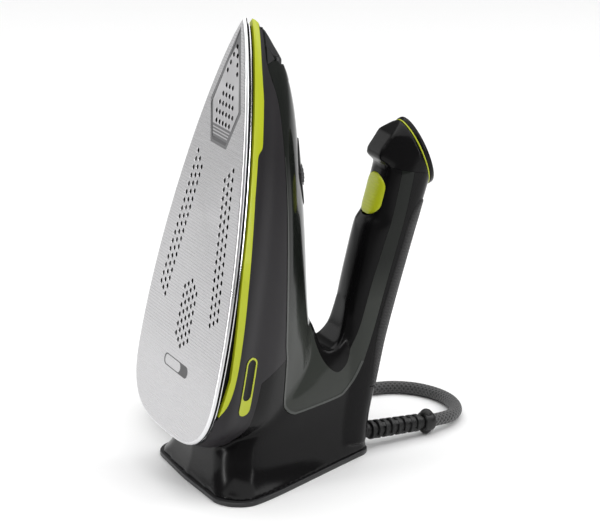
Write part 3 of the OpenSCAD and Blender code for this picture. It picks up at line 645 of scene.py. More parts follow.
# tie round the coil's turns, on its far side: a rounded rectangle round the bundle
TIE_ANGLE, TIE_R = 200, 44.7
TIE_HALF_W, TIE_HALF_H, TIE_SQUARENESS = 8.9, 15.6, 0.45
tie_rings = []
for i in range(48):
    a = 2 * math.pi * i / 48
    px = TIE_HALF_W * np.sign(math.cos(a)) * abs(math.cos(a)) ** TIE_SQUARENESS
    pz = TIE_HALF_H * np.sign(math.sin(a)) * abs(math.sin(a)) ** TIE_SQUARENESS
    n = Vector((px / TIE_HALF_W, 0, pz / TIE_HALF_H)).normalized()
    tie_rings.append([(px + n.x * t, w, pz + n.z * t) for w, t in ((-3, 0), (3, 0), (3, 0.35), (-3, 0.35))])
tie = loft("cord_tie", tie_rings, closed_along=True)
angle = math.radians(TIE_ANGLE)
tie_x, tie_y = coil_centre[0] + TIE_R * math.cos(angle), coil_centre[1] + TIE_R * math.sin(angle)
tie_place = put(tie_x, tie_y, 16, TIE_ANGLE, "Z")
finish_piece(tie, "cord_tie", "guard_rubber", space=tie_place)

# plug
PLUG_TILT = 17
plug_way = put(*end_route[-1], PLUG_TILT - 90)
profile = [(3.6, -0.6), (4.6, -0.3)]
for i in range(6):
    z = 1.0 + 2.1 * i
    profile += [(4.9 + 0.1 * i, z), (5.0 + 0.1 * i, z + 1.1), (4.5 + 0.1 * i, z + 1.3), (4.5 + 0.1 * i, z + 1.9)]
profile += [(6.6, 13.4), (8.4, 14.4), (10.2, 18), (12, 22.2), (13.9, 26.6), (14.8, 29), (15, 30), (15, 40.8),
            (14.7, 41.6), (13.8, 42)]
plug = revolve("plug", profile, 96)
for sign in (-1, 1):
    cut(plug, box_mesh("grip_flat", (sign * 15.4 - 2, -3, 31), (sign * 15.4 + 2, 3, 50), 0.4))
finish_piece(plug, "plug_body", "plug_black", space=plug_way)

# ------------------------------------------------ the iron's overall form
half_w_at = pchip([(0, 57), (10, 57), (24, 51), (34, 47.5), (40, 45), (50, 39), (60, 32), (70, 25), (80, 16)])
tip_at = pchip([(0, 130), (6, 130), (12, 127), (17, 122.5), (22.5, 116.5), (28, 110.5), (33.5, 103), (38.5, 93.5),
                (43, 82.5), (47, 70.5), (53, 52.5), (60, 28), (66, 3), (70, -14), (75, -32), (80, -46)])
heel_at = pchip([(0, -115), (5, -115.5), (13, -116.5), (22, -116), (30, -112), (80, -111)])
HEEL_POWER = 0.625
WIDEST = -67.0


def plan(w, tip, heel):
    """Outline of the iron seen from above: (x, y) points, right half from the tip to the heel, then left."""
    n, m = 64, 26  # points along the side and round the heel
    l = tip - WIDEST
    t = (np.arange(n) / n)[:, None]
    a, b, c, d = (np.array(p, float) for p in
                  ((0, tip), (0.37 * w, tip - 0.12 * l), (w, WIDEST + 0.41 * l), (w, WIDEST)))
    half = a * (1 - t) ** 3 + 3 * b * t * (1 - t) ** 2 + 3 * c * t * t * (1 - t) + d * t ** 3
    e = np.radians(90 * np.arange(m + 1) / m)
    e[-1] = math.pi / 2
    c, s = np.maximum(np.cos(e), 0.0) ** HEEL_POWER, np.sin(e) ** HEEL_POWER
    c[-1] = 0.0
    half = np.concatenate([half, np.column_stack([w * c, WIDEST - (WIDEST - heel) * s])])
    return np.concatenate([half, half[-2:0:-1] * (-1, 1)])


def plan_at(z, inset):
    return plan(half_w_at(z) - inset, tip_at(z) - 1.5 * inset, heel_at(z) + inset)


def dome(name, inset, low, high, step=1.5):
    zs = np.linspace(low, high, max(2, int(round((high - low) / step)) + 1))
    return loft(name, [ring for z in zs for ring in raised_outline(plan_at(z, inset), [z])])


def skin(name, outer, inside, low, high, step=1.5):
    return cut(dome(name, outer, low, high, step), dome("inside", inside, low - 1, high + 1, step))


handle_half, handle_front, handle_back = (pchip([(row[0], row[k]) for row in (
    (-112, 17.5, 99, 130), (-90, 17, 98.5, 128.5), (-55, 16.5, 98.5, 128.5), (-20, 16, 98, 130.5),
    (5, 16, 98.5, 132.5), (20, 16, 99.3, 133.8), (27, 16, 102.4, 134.3), (56, 17, 104.5, 136.5))])
    for k in (1, 2, 3))


def handle_ring(y, inset, a):
    """Points round the handle at y; a runs from its back (0) over the left side, in radians."""
    w, f, b = handle_half(y), handle_front(y), handle_back(y)
    squarer = 1 + 0.08 * np.sin(2 * a) ** 2
    return np.column_stack([-(w - inset) * np.sin(a) * squarer, np.full(len(a), float(y)),
                            (f + b) / 2 + ((b - f) / 2 - inset) * np.cos(a) * squarer])


def handle(name):
    a = 2 * math.pi * np.arange(72) / 72
    return loft(name, [handle_ring(y, 0.0, a) for y in np.linspace(-112.0, 56.0, 85)])


tower_at = [pchip([(row[0], row[k]) for row in (
    (3, 54, -9.5, 105.5, 12), (8, 48.5, -7.5, 105.5, 12), (15, 44, -5.5, 105.5, 12), (25, 41.5, -4, 106.5, 12),
    (48, 35.5, 14, 109, 12), (60, 28, 29, 111, 11), (72, 20, 44, 112.5, 10), (85, 13, 60, 114, 8),
    (98, 7, 80, 114, 5))]) for k in (1, 2, 3, 4)]


def triangle(w, front, rear, r):
    """Rounded triangle: wide at the front, narrow at the rear, as (x, y) points."""
    front_r = min(1.5 * r, 0.85 * w)
    e, f = np.radians(np.arange(-90, 1, 7.5)), np.radians(np.arange(15, 91, 7.5))
    nose = np.column_stack([w - front_r + front_r * np.cos(e), front + front_r + front_r * np.sin(e)])
    tail = np.column_stack([r * np.cos(f), rear - r + r * np.sin(f)])
    start, corner = np.array((w, front + front_r)), np.array((w - 1.4, front + r + 14))
    end = corner + 0.3 * (tail[0] - corner)
    t = np.linspace(0, 1, 11)[1:, None]
    bend = (1 - t) ** 2 * start + 2 * t * (1 - t) * corner + t ** 2 * end
    side = end + np.linspace(0, 1, 5)[1:-1, None] * (tail[0] - end)
    half = np.concatenate([[(0, front - 1.5)], nose, bend, side, tail])
    return np.concatenate([half, half[-2:0:-1] * (-1, 1)])


def tower(name):
    return loft(name, [unstand(ring) for z in np.linspace(3.0, 98.0, 56)
                       for ring in raised_outline(triangle(*(row(z) for row in tower_at)), [z])])


def hull(name, points):
    bm = bmesh.new()
    for p in points:
        bm.verts.new(p)
    bmesh.ops.convex_hull(bm, input=bm.verts)
    bmesh.ops.delete(bm, geom=[v for v in bm.verts if not v.link_faces], context="VERTS")
    return outward(from_bmesh(name, bm))


CAP = put(0, 67, 128, -33.6)
CAP_A, CAP_B, CAP_T, RING_T = 22.0, 17.0, 3.2, 0.8


def cap_space():
    """Everything above the seat of the ring under the end cap."""
    space = box_mesh("cap_space", (-40, -60, -CAP_T - RING_T), (40, 60, 40))
    space.data.transform(CAP)
    return space

def head(name):
    under = -CAP_T - RING_T
    pts = [CAP @ Vector((x, y, under)) for x, y in ellipse(CAP_B, CAP_A, 72)]
    pts += [Vector((x, y, z)) for x in (-9, 9) for y in (60, 64) for z in (99.5, 102)]
    pts += [Vector((x, y, z)) for x in (-10, 10) for y in (72, 75) for z in (105, 108)]
    pts += [Vector((x, 55.8, 120.5 + z)) for x, z in ellipse(17, 16, 72)]
    return hull(name, pts)


finger_gap = [(56, 52), (30, 60), (6, 66.5), (-18, 72.5), (-36, 77), (-46, 80), (-52.5, 83), (-55, 88), (-53.5, 93),
              (-49, 96), (-44, 97.5), (-36, 98)]


def gap_prism(name):
    line = np.concatenate([finger_gap[:4], curve_through(finger_gap[4:], 5)])
    return prism(name, np.concatenate([line, [(120, 98), (160, 98), (160, 52)]]))


def soften(ob, middle, reach, times):
    """Extra smoothing that fades out at reach from middle, seen from the side."""
    co = np.zeros(len(ob.data.vertices) * 3, np.float32)
    ob.data.vertices.foreach_get("co", co)
    away = np.linalg.norm(co.reshape(-1, 3)[:, 1:] - np.array(middle[1:]), axis=1)
    weight = np.clip(1.6 * (1 - away / reach), 0, 1)
    group = ob.vertex_groups.new(name="soft")
    for i in np.nonzero(weight > 0.01)[0]:
        group.add([int(i)], float(weight[i]), "REPLACE")
    m = ob.modifiers.new("soften", "SMOOTH")
    m.iterations, m.factor, m.vertex_group = times, 0.5, "soft"
    baked(ob)
    ob.vertex_groups.clear()
    return ob


# body, tower, handle and head as one form whose inner corners flow together, with the finger gap cut out
VOXEL = 0.9
form = voxel(join("form", [dome("d", 0.2, 8, 79), tower("t"), handle("h"), head("k")]), VOXEL)
cut(form, gap_prism("g"))
voxel(form, VOXEL, 12)
soften(form, (0, -47, 88), 24, 60)
soften(form, (0, -84, 40), 34, 45)
inner = copy(form, "inner")
shrink = inner.modifiers.new("shrink", "DISPLACE")
shrink.strength, shrink.mid_level = -2.5, 0.0
voxel(inner, 1.3)
cut(form, inner)


def cut_from(source, name, outline):
    """The part of source inside an outline of (y, z)."""
    return keep(copy(source, name), prism("region", outline))


GAP = 0.15
shell_top = [(140, 12.6), (109, 14.5), (88, 24), (63, 29.5), (36, 34), (-9, 40), (-44, 46), (-56, 49.5)]
shell_heel = [(-69, 32), (-96, 31.5), (-108, 27), (-130, 24)]
tank_foot = [(-56, 49.5), (-82, 55), (-88, 58.5), (-90.5, 64), (-90, 70), (-83, 98), (-79, 104.5), (-72, 109),
             (-60, 112.5)]
band_back = [(-60, 112.5), (-40, 115), (-12, 117.2), (9, 119), (30, 120.5), (56.1, 120)]
band_front = [(56.1, 112.5), (30, 112.5), (12, 110.5), (-12, 108), (-40, 106), (-54, 103)]
lining_back = [(-36, 75), (-50, 78), (-60, 83.5), (-66, 91), (-67, 97), (-62, 102), (-54, 103)]
shell_line, foot_line, back_line, front_line, lining_line = (
    curve_through(points, 5) for points in (shell_top, tank_foot, band_back, band_front, lining_back))

# ------------------------------------------------ tank with the clear band up the handle
TANK_SPLIT_Y = 98
tank = cut_from(form, "tank", np.concatenate([
    shell_line[:-1] + (0, GAP), foot_line[:-1], back_line, front_line, lining_line[::-1],
    [(-30, 90), (150, 90), (150, 12.9)]]))
door_shape = [(0, 135), (6.5, 129), (6.5, 118), (3.2, 109.3), (-3.2, 109.3), (-6.5, 118), (-6.5, 129)]
door_hole = [(x * 1.05, y - (2.7 if y < 110 else 0)) for x, y in door_shape]
DIAL = put(0, 46, 54.2, -16.6)


def rod(name, r, low, high, place=None, sides=64):
    ob = loft(name, raised_outline(ellipse(r, r, sides), (low, high)))
    if place is not None:
        ob.data.transform(place)
    return ob


# behind the split the tank is cut from the smoothed form, and in front of it from the exact dome
keep(tank, box_mesh("rear_part", (-200, -200, -200), (200, TANK_SPLIT_Y, 200)))
cone = skin("cone", 0.2, 2.8, 11, 42)
nose_line = [(y, z + GAP) for y, z in shell_line[::-1] if y > TANK_SPLIT_Y]
keep(cone, prism("nose_region", [(TANK_SPLIT_Y, 60), (TANK_SPLIT_Y, 19.8)] + nose_line + [(150, 60)]))
cut(cone, prism("door_hole", door_hole, (14.4, 60), "z"))
tank = join("tank", [tank, cone])
cut(tank, rod("dial_hole", 12.8, -13, 13, DIAL))
finish_piece(tank, "tank_and_band", "smoked_clear", replaced=("water_tank", "tank_handle_band"))

# rim that stands a little proud along the tank's lower edge, painted paler than the tank as a painted highlight
# along that edge
rim_path = np.concatenate([shell_line[shell_line[:, 0] < 60][:-1], foot_line])
rim_way = np.gradient(rim_path, axis=0)
rim_side = np.column_stack([-rim_way[:, 1], rim_way[:, 0]]) / np.linalg.norm(rim_way, axis=1)[:, None]
rim_side *= -1 if rim_side[0, 1] < 0 else 1
grade = np.clip((60 - rim_path[:, 0]) / 60, 0.25, 1.0)[:, None]
rim_low, rim_high = rim_path + 0.16 * rim_side, rim_path + (0.16 + 1.5 * grade) * rim_side
rim_form = copy(form, "rim")
lift = rim_form.modifiers.new("lift", "DISPLACE")
lift.strength, lift.mid_level = 0.3, 0.0
baked(rim_form)
keep(rim_form, prism("strip", np.concatenate([rim_low, rim_high[::-1]])))
finish_piece(rim_form, "tank_rim", "smoked_clear", "rim_smoke")

# ------------------------------------------------ black front of the handle and the lining of the gap
grip = cut_from(form, "grip", np.concatenate([
    lining_line + (GAP, GAP), [(-54 + GAP, 103 - GAP)], front_line[::-1] - (0, GAP),
    [(56.1, 88), (-40, 88), (-37, 84), (-36.2, 75.2)]]))
TRIGGER_Y = (25.5, 50.5)
SLOT_R = 10.9


def stadium(r, y0, y1, n=24):
    a = np.radians(np.linspace(0, 180, n))
    return np.concatenate([np.column_stack([r * np.cos(a), y1 + r * np.sin(a)]),
                           np.column_stack([-r * np.cos(a), y0 - r * np.sin(a)])])


# the opening that the trigger sits in, with rounded ends
slot_ends = (TRIGGER_Y[0] - 1.0 + SLOT_R, TRIGGER_Y[1] + 0.4 - SLOT_R)
cut(grip, prism("slot", stadium(SLOT_R, *slot_ends), (90, 112), "z"))
finish_piece(grip, "handle_front", "gloss_black", replaced=("grip_front",))

# ------------------------------------------------ rear housing with its base, and the ribbed grip
grip_edge = [(-76, 121), (-40, 118), (-12, 120), (12, 122.5), (30, 124.5), (40, 129)]
edge_line = curve_through(grip_edge, 6)
region = np.concatenate([
    [(56.1, 150)], back_line[::-1] + (0, GAP), foot_line[::-1][1:] - (GAP, GAP),
    [(-69 - GAP, 32 + GAP), (-96, 31.5 + GAP), (-108, 27 + GAP), (-109, 24.2), (-109, -60), (-220, -60),
     (-220, 150)]])
housing = cut_from(form, "housing", region)
cut(housing, dome("body", -0.25, -30, 30.3, 2))
pocket = np.concatenate([edge_line - (0, GAP), [(40.3, 160), (-76.3, 160)]])
cut(housing, prism("pocket", pocket))
cut(housing, cap_space())
floor_cut = box_mesh("floor_cut", (-100, -100, -50), (100, 200, 3.0))
floor_cut.data.transform(IRON.inverted() @ put(0, HEEL_SHIFT, 0))
cut(housing, floor_cut)
cut(housing, rod("socket", 8.4, 0, 30, IRON.inverted() @ put(0, 98 + HEEL_SHIFT, 11.5, -90)))
finish_piece(housing, "rear_housing", "gloss_black")


def ribbed_grip():
    """Soft grip on the handle's back: a skin between the two edge lines, with fine slanting ribs."""
    low_y, high_y, rib_pitch, ease = -76, 40, 1.9, 1.4
    edge = pchip(sorted([tuple(p) for p in grip_edge]))
    outer, inside = [], []
    for y in np.arange(low_y + 0.3, high_y - 0.25, 0.42):
        f, b = handle_front(y), handle_back(y)
        mid, h = (f + b) / 2, (b - f) / 2
        reach = math.acos(min(0.97, max(-0.97, (edge(y) + 0.1 - mid) / h)))
        a = np.linspace(-reach, reach, 96)
        base = handle_ring(y, 0.0, a)
        rim = np.clip(np.minimum(1 - np.abs(a) / reach, 1) * reach * 16 / ease, 0, 1)
        ends = min(1.0, (y - low_y) / ease, (high_y - y) / ease)
        rib = 0.5 + 0.5 * np.cos(2 * math.pi * (y - 0.9 * np.abs(base[:, 0])) / rib_pitch)
        lift = -0.9 + (0.95 + 0.5 * rib) * np.minimum(rim, ends) ** 0.5
        n = base - np.array([0, y, mid])
        n /= np.linalg.norm(n, axis=1)[:, None]
        outer.append(base + n * lift[:, None])
        inside.append(handle_ring(y, 2.2, a))
    return two_sided("grip", outer, inside)


finish_piece(ribbed_grip(), "rear_grip", "grip_black", crease=60)

# ------------------------------------------------ head, cap and its controls
top = cut_from(form, "top", [(56.25, 60), (56.25, 160), (120, 160), (120, 60)])
cut(top, cap_space())
finish_piece(top, "handle_head", "gloss_black")
remove(form)


def cap_layers(a, b, rows):
    return [ring for g, z in rows for ring in raised_outline(ellipse(b + g, a + g, 128), [z])]


cap = loft("cap", cap_layers(CAP_A, CAP_B, [
    (-0.5, -CAP_T), (-0.1, -CAP_T + 0.25), (0, -CAP_T + 0.6), (0, -1.1), (-0.15, -0.6), (-0.5, -0.2), (-1.1, 0.0),
    (-6, 0.15), (-11, 0.2)]))
cut(cap, rod("hole", 5.3, -10, 10, put(0, 9, 0)))
cut(cap, prism("slot", stadium(2.8, -7.7, 7.7)[:, ::-1] + (0, -8), (-10, 10), "z"))
finish_piece(cap, "control_cap", "gloss_black", space=IRON @ CAP)
ring = loft("ring", cap_layers(CAP_A, CAP_B, [(-0.4, -CAP_T - RING_T + 0.05), (-0.4, -CAP_T - 0.05)]))
cut(ring, loft("hole", cap_layers(CAP_A - 2.6, CAP_B - 2.6, [(0, -10), (0, 0)])))
finish_piece(ring, "cap_ring", "lime_plastic", space=IRON @ CAP)


# ------------------------------------------------ trigger
def trigger_pad():
    """Lime pad with rounded ends that follows the front of the handle, crowned and ribbed."""
    w, y0, y1, rows, cols = 10.3, TRIGGER_Y[0] + 0.1, TRIGGER_Y[1] - 0.1, 64, 40
    middle, half_l, end_l, roundness, crown_w = (y0 + y1) / 2, (y1 - y0) / 2, w * 0.8, 2.2, 2.2
    outer, inside = [], []
    for j in range(rows):
        y = middle - math.cos(math.pi * j / (rows - 1)) * half_l
        end = half_l - abs(y - middle)
        half = w if end > end_l else w * max(0.0, 1 - (1 - end / end_l) ** roundness) ** (1 / roundness)
        half = max(half, 0.35)
        s = np.sin(np.linspace(-math.pi / 2, math.pi / 2, cols))
        x = half * s
        base = handle_ring(y, 0.0, math.pi - np.arcsin(np.clip(x / handle_half(y), -0.99, 0.99)))
        edge = np.minimum(half * (1 - np.abs(s)), end)
        crown = 1.5 * np.sqrt(np.clip(1 - (1 - np.clip(edge / crown_w, 0, 1)) ** 2, 0, 1)) - 0.7
        crown += 0.12 * np.cos(2 * math.pi * y / 1.9) * np.clip((edge - crown_w) / 1.5, 0, 1)
        n = np.column_stack([0.35 * x / half, np.zeros(cols), -np.ones(cols)])
        n /= np.linalg.norm(n, axis=1)[:, None]
        top_points = base + n * crown[:, None]
        outer.append(top_points)
        low = top_points.copy()
        low[:, 2] = np.maximum(top_points[:, 2] + 0.3, handle_front(y) + 2.4)
        inside.append(low)
    return two_sided("pad", outer, inside)


pad = trigger_pad()
lever = box_mesh("lever", (-3, 44, 104.3), (3, 50.4, 110), 0.5)
lever_pin = put(0, 50, 110, 90, "Y")
weld(lever, rod("eye", 2.8, -3, 3, lever_pin, 48))
cut(lever, rod("bore", 1.55, -5, 5, lever_pin, 48))
finish_piece(lever, "trigger_lever", "lime_plastic", body="trigger_key")
finish_piece(pad, "trigger", "lime_plastic", body="trigger_key", crease=50)

# ------------------------------------------------ lower body: charcoal shell and lime band
band_top = [(140, 10.5), (109, 10.5), (88, 12), (65, 12), (57, 9), (36, 8.8), (-9, 10), (-43, 11.2), (-66, 11.4),
            (-80, 9.5), (-88, 5.5)]
band_step = [(65, 12), (62.5, 11.6), (59.5, 9.6), (57, 9)]
band_low = [(-66, 8), (-43, 7), (-9, 5.6), (36, 5.8), (140, 6)]
top_line = np.concatenate([curve_through(band_top[:3], 4)[:-1], curve_through(band_top[2:4], 2)[:-1],
                           curve_through(band_step, 4)[:-1], curve_through(band_top[5:], 5)])
low_line = curve_through(band_low, 5)
NOZZLE = put(0, 121, 12.2, -90)

shell = skin("shell", 0.2, 2.8, 4.4, 54)
upper_shell = np.concatenate([shell_line, shell_heel, [(-200, 90), (200, 90), (200, 12.6)]])
cut(shell, prism("above", upper_shell))
under_shell = np.concatenate([top_line + (0, GAP), [(-90, 5.2), (-90, -10), (200, -10), (200, 10.65)]])
cut(shell, prism("below", under_shell))
cut(shell, rod("bore", 1.4, 0, 12, NOZZLE, 32))
nozzle = revolve("nozzle", [(0.9, -0.5), (1.35, -0.5), (1.35, 4.6), (1.1, 4.9), (0.5, 4.95)], 40)
cut(nozzle, rod("jet", 0.35, 3.5, 6, None, 24))
finish_piece(nozzle, "nozzle", "gloss_black", replaced=("spray_nozzle",), space=IRON @ NOZZLE)
finish_piece(shell, "body_shell", "shell_black")
band = skin("band", 0.0, 2.8, 0, 16, 1.0)
keep(band, prism("strip", np.concatenate([top_line, low_line])))
finish_piece(band, "skirt_band", "lime_plastic")

# badges: a lime pill with a dark one set in it, on both sides
BADGE_R = 4.2
badge = [np.array((-53.0 - BADGE_R, 21.5)), np.array((-88.0 + BADGE_R, 22.8))]
inset = [badge[0], np.array((-53.0 - 22.5, 21.5 + 0.8))]


def pill(a, b, r, n=24):
    tilt = math.atan2(b[1] - a[1], b[0] - a[0])
    t = np.radians(np.linspace(-90, 90, n))
    end = r * np.column_stack([np.cos(tilt + t), np.sin(tilt + t)])
    return np.concatenate([b + end, a - end])


def patch(name, proud, sunk, low, high, outline, *how):
    """A thin piece of the body's skin inside an outline."""
    return keep(skin(name, proud, sunk, low, high, 1.0), prism("outline", outline, *how))


lime_badge = patch("badge", -0.22, 0.15, 13, 30, pill(*badge, BADGE_R))
cut(lime_badge, prism("inset", pill(*inset, BADGE_R - 1.1)))
finish_piece(lime_badge, "side_badges", "lime_plastic")
dark_badge = patch("badge", -0.1, 0.15, 13, 30, pill(*inset, BADGE_R - 1.15))
finish_piece(dark_badge, "badge_insets", "gloss_black")

# nose: facets beside the door, and the filling door with its barrel
nose = patch("nose", -0.3, 0.15, 13, 26, [(117, 14.9), (109.5, 22), (107.3, 15.2)])
finish_piece(nose, "nose_trim", "shell_black", "base_grey")
door = patch("door", 0.0, 2.2, 13.5, 34, door_shape, (14.7, 60), "z")
hinge = put(0, 109.8, 24, 90, "Y")
barrel = keep(rod("barrel", 4.9, -3.1, 3.1, hinge, 96), dome("under", 0.0, 13.5, 36, 1.0))
keep(barrel, box_mesh("front", (-10, 100, 25.2), (10, 112, 40)))
weld(door, barrel)
weld(door, rod("knuckle", 1.9, -3.5, 3.5, hinge, 48))
cut(door, rod("bore", 0.85, -10, 10, hinge, 32))
finish_piece(door, "fill_door", "shell_black", "base_grey", body="door")

# dial surround on the spine
raised = dome("raised", -1.2, 38, 70)
foot = prism("foot", ellipse(11.8, 20), (-20, 20), "z")
foot.data.transform(DIAL)
keep(raised, foot)
cut(raised, dome("under", 0.1, 36, 72))
collar = keep(dome("collar", -1.2, 38, 70), rod("wall", 12.6, -9, 11, DIAL, 96))
weld(raised, collar)
cut(raised, rod("well", 9.85, -5.5, 20, DIAL, 96))
cut(raised, rod("bore", 2.55, -20, 0, DIAL, 32))
finish_piece(raised, "dial_bezel", "gloss_black")

# ------------------------------------------------ soleplate and the trims behind it
SOLE_T = 2.6
RIM_TOP = 1.95
HOLE_R = 1.45


def plate_rings(rows):
    return [ring for inset_by, z in rows for ring in raised_outline(plan_at(0, inset_by), [z])]


def sole_holes():
    step = (4.184, 2.796)
    holes = [(i * step[0], -35.5 + j * step[1]) for i in range(-2, 3) for j in range(-10, 5)
             if (i + j) % 2 == 0 and abs(j + 3) <= 7 - abs(i)]
    for side in (-1, 1):
        for column in range(3):
            for row in range(17):
                r = row + column
                x, y = 25 - 5.25 * column + 1.015 * r, 47 + 1.2 * column - (5.18 - 0.07 * column) * r
                holes.append((side * x, y))
    return holes


def tip_holes():
    holes = [(0, 113.2)] + [(side * (0.4 + 2.07 * i), 113.2 - 4.95 * i) for i in (1, 2, 3) for side in (-1, 1)]
    holes += [(4.4 * (i - (row + 2) / 2), 90.1 - 5.35 * row) for row in range(4) for i in range(row + 3)]
    return holes + [(4.4 * i, 68.7) for i in range(-2, 3)]


def drills(name, holes, face=0.0, sink=0.35):
    """Cutters for steam holes whose rims are eased."""
    rows = ((HOLE_R + sink + 0.3, face - 0.3), (HOLE_R + sink, face), (HOLE_R, face + sink), (HOLE_R, 5.0))
    return join(name, [loft("drill", [ring for r, z in rows
                                      for ring in raised_outline(ellipse(r, r, 20) + h, [z])]) for h in holes])


def inside_of(outline, x, y):
    a, b = outline, np.roll(outline, -1, axis=0)
    crossing_x = (b[:, 0] - a[:, 0]) * (y - a[:, 1]) / (b[:, 1] - a[:, 1] + 1e-12) + a[:, 0]
    crosses = ((a[:, 1] > y) != (b[:, 1] > y)) & (x < crossing_x)
    return bool(crosses.sum() % 2)


def finish_plate(ob, rim_highlight_paint=None):
    """Paints the steam holes' walls black as painted shade in the holes; if given a paint for the rim, paints the
    plate's rounded rim with it as a painted highlight and the rim's top band black as painted shade under the
    gasket; and keeps its flat faces flat.
    """
    paints = [rim_highlight_paint] if rim_highlight_paint else []
    for paint in paints + ["shield_black"]:
        ob.data.materials.append(materials[paint])
    to_iron = IRON.inverted()
    field, rim = plan_at(0, 6.0), plan_at(0, 1.25)
    for face in ob.data.polygons:
        at = to_iron @ (face.center * 1000)
        way = to_iron.to_3x3() @ face.normal
        if abs(way.z) > 0.9995:
            face.use_smooth = False
        if abs(way.z) < 0.5 and inside_of(field, at.x, at.y):
            # steam hole walls in black: painted shade in the holes
            face.material_index = len(ob.data.materials) - 1
        elif rim_highlight_paint and not inside_of(rim, at.x, at.y):
            # rounded rim below RIM_TOP in the brighter steel as a painted highlight; the band above it black as
            # painted shade where the plate meets the gasket
            face.material_index = 1 if at.z < RIM_TOP else 2


sole = loft("sole", plate_rings([(2.0, 0.0), (1.3, 0.06), (0.7, 0.3), (0.25, 0.75), (0.0, 1.35), (0.0, 1.9),
                                 (0.12, 2.0), (0.12, SOLE_T)]))
insert_half = [(0, 124.9), (9, 105), (21, 78.5), (10.7, 56)]


def insert_outline(grow):
    right = [(x + (grow if x else 0), y + (grow * 1.2 if y > 60 else -grow)) for x, y in insert_half]
    return np.array(right + [(-x, y) for x, y in right[:0:-1]])


cut(sole, prism("seat", insert_outline(0.12), (-1, 1.0), "z"))
cut(sole, drills("drills", sole_holes()))
cut(sole, drills("drills", tip_holes(), 1.0, 0.05))
finish_piece(sole, "soleplate", "sole_steel", crease=25)
finish_plate(sole, "bright_rim")

tip = prism("tip", insert_outline(0), (0.02, 1.0), "z")
cut(tip, prism("groove", insert_outline(-1.5), (-1, 0.2), "z"))
cut(tip, drills("drills", tip_holes(), 0.2, 0.05))
finish_piece(tip, "tip_insert", "insert_grey", crease=25)
finish_plate(tip)


def inner_panel(y, grow=0.0):
    """Half width of the insert's inner panel at y."""
    return float(np.interp(y, [56, 78.5, 105, 124.9], [10.7, 21, 9, 0])) - 2.9 + grow


def panel_stripe(name, y0, y1, low, grow=(0.0, 0.0)):
    """A stripe across the insert between y0 and y1, cut to the panel's sides."""
    a, b = inner_panel(y0, grow[0]), inner_panel(y1, grow[1])
    return prism(name, [(a, y0), (b, y1), (-b, y1), (-a, y0)], (low, 0.6), "z")


shoulder, waist, foot_w = inner_panel(105, 0.6), inner_panel(79), inner_panel(66.6)
panel = prism("panel", [(0, 114.5), (shoulder, 105), (waist, 79), (foot_w, 66.6), (-foot_w, 66.6), (-waist, 79),
                        (-shoulder, 105)], (0.04, 0.6), "z")
cut(panel, drills("drills", tip_holes(), 0.04, 0.2))
stripes = [panel_stripe("line", y, y - 0.75, 0.04) for y in (65.2, 63.45, 61.7)]
tip_panel = join("panel", [panel] + stripes)
finish_piece(tip_panel, "tip_panel", "insert_grey", "panel_silver", crease=25)
finish_plate(tip_panel)
tab = panel_stripe("tab", 59.4, 57.3, 0.05, (1.0, 1.2))
finish_piece(tab, "tip_tab", "insert_grey", "panel_dark", crease=25)

# plain pill mark near the heel: an outline with its left third filled
MARK_Y, MARK_L, MARK_R = -75.3, 13.5, 3.5


def sideways(points):
    return np.array([(y, x) for x, y in points])[::-1]


def mark_pill(grow, half, middle=0.0):
    return sideways(stadium(MARK_R + grow, middle - half, middle + half)) + (0, MARK_Y)


outline = prism("mark", mark_pill(0, MARK_L), (-0.05, 0.2), "z")
cut(outline, prism("window", mark_pill(-0.6, 8.2, 4.6), (-1, 1), "z"))
cut(outline, prism("slot", mark_pill(-0.6, 0.8, -13.0), (-1, -0.02), "z"))
finish_piece(outline, "sole_mark", "insert_grey", "panel_dark", crease=25)


def plate_ring(name, z, t, inset_by, width, ease=0.0):
    rows = [(inset_by, z + ease), (inset_by, z + t - ease)]
    if ease:
        rows = [(inset_by + ease, z)] + rows + [(inset_by + ease, z + t)]
    hole = plate_rings([(inset_by + width, z - 1), (inset_by + width, z + t + 1)])
    return cut(loft(name, plate_rings(rows)), loft("hole", hole))


finish_piece(plate_ring("seal", SOLE_T, 1.2, 2.4, 3), "sole_gasket", "seal_black")
finish_piece(plate_ring("frame", SOLE_T + 1.2, 0.65, 1.0, 5, 0.15), "skirt_frame", "chrome_trim")
shield = plate_ring("shield", SOLE_T + 1.9, 6, 2.9, 2.4)
keep(shield, prism("strip", np.concatenate([[(-88, 3), (-88, 5.3)], low_line - (0, 0.2), [(140, 3)]])))
finish_piece(shield, "heat_shield", "shield_black")

# ------------------------------------------------ base plate with its bevelled lip
FOOT = (55, -10.5, 106.5)
foot_plate = loft("foot", [ring for g, z in ((0.5, 0.0), (0.0, 0.5), (0.0, 2.3), (0.25, 2.75), (0.8, 2.95))
                           for ring in raised_outline(triangle(FOOT[0] - g, FOOT[1] + g, FOOT[2] - g, 12), [z])])
for x, y in ((-38, 8), (38, 8), (-10, 86), (10, 86)):
    cut(foot_plate, rod("hole", 1.7, -1, 5, put(x, y, 0), 32))
    cut(foot_plate, rod("hole", 3.4, -1, 1.4, put(x, y, 0), 40))
finish_piece(foot_plate, "base_plate", "base_grey", space=put(0, HEEL_SHIFT, 0))

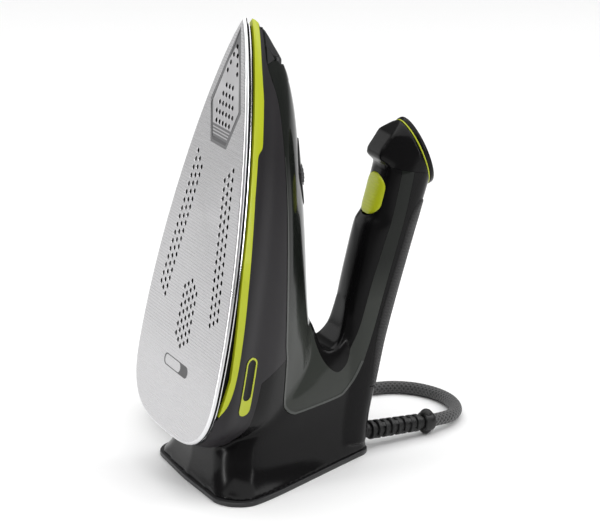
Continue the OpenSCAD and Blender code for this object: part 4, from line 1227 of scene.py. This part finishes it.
# ------------------------------------------------ bend guard and its collar
guard_place = along(ball, guard_way)
GUARD_L = (collar_end - ball).length
RIBS = 8
guard = revolve("guard", [(4.0, 8.5), (4.4, 9.0), (4.4, 9.6), (4.3, 10.5), (4.3, 50.8), (4.0, 51.0)], 48)
for i in range(RIBS):
    z = 11.5 + 4.7 * i
    r = 5.8 - 0.06 * i
    rib = [(3.0, z), (r - 0.5, z), (r, z + 0.45), (r, z + 2.2), (r - 0.5, z + 2.65), (3.0, z + 2.65)]
    weld(guard, revolve("rib", rib, 64))
    # two bridges hold each rib to the next, turned by a quarter from rib to rib
    for k in range(2 if i < RIBS - 1 else 0):
        bridge = box_mesh("bridge", (3.0, -1.5, z + 2.2), (r - 0.25, 1.5, z + 5.1), 0.25, 2)
        bridge.data.transform(put(0, 0, 0, 45 + 180 * k + (90 if i % 2 else 0), "Z"))
        weld(guard, bridge)
finish_piece(guard, "cord_guard", "guard_rubber", body="cord_joint", space=guard_place)
collar_piece = revolve("collar", [(r, GUARD_L - below) for r, below in (
    (4.2, 7.2), (5.6, 7.2), (6.1, 6.6), (6.2, 4), (6.1, 0.9), (5.5, 0), (4.2, 0))], 64)
lug_side = [(0.3, 4.1), (1.7, 3.9), (3.0, 3.1), (3.9, 1.8), (4.2, 0)]
for sign in (-1, 1):
    lug = revolve("lug", [(r, -z) for r, z in lug_side[:-1]] + lug_side[::-1], 48)
    lug.data.transform(put(sign * 3.7, 0, GUARD_L - 4, 90))
    weld(collar_piece, lug)
cut(collar_piece, rod("bore", 4.0, GUARD_L - 2.4, GUARD_L + 3, None, 48))
finish_piece(collar_piece, "guard_collar", "guard_rubber", body="cord_joint",
             space=guard_place @ put(0, 0, 0, 90, "Z"))

# ------------------------------------------------ floor, light
floor = mesh_object("floor", [(-6, -6, 0), (6, -6, 0), (6, 6, 0), (-6, 6, 0)], [(0, 1, 2, 3)])
floor.data.materials.append(new_material("floor_paint", Base_Color=(0.9, 0.9, 0.9, 1), Roughness=0.7)[0])
world = bpy.data.worlds.new("studio")
world.use_nodes = True
sky = world.node_tree.nodes["Background"].inputs
sky["Color"].default_value, sky["Strength"].default_value = (1, 1, 1, 1), 0.2
scene.world = world
centre = Vector((0, 0, 0.14))


def softbox(name, way, distance, width, height, power):
    light = bpy.data.lights.new(name, "AREA")
    light.shape, light.size, light.size_y, light.energy = "RECTANGLE", width, height, power
    ob = bpy.data.objects.new(name, light)
    collection.objects.link(ob)
    ob.location = centre + distance * way_at(*way)
    ob.rotation_euler = (ob.location - centre).to_track_quat("Z", "Y").to_euler()


softbox("overhead", (0, 90), 2.2, 4.5, 4.5, 108)
softbox("front", (6, 14), 1.7, 0.22, 1.2, 11)
softbox("left", (-62, 14), 2.0, 1.3, 1.0, 4)
softbox("right", (118, 20), 1.8, 0.2, 1.2, 6)
softbox("rear", (170, 35), 1.8, 0.8, 0.8, 6)
scene.view_settings.view_transform = "Standard"
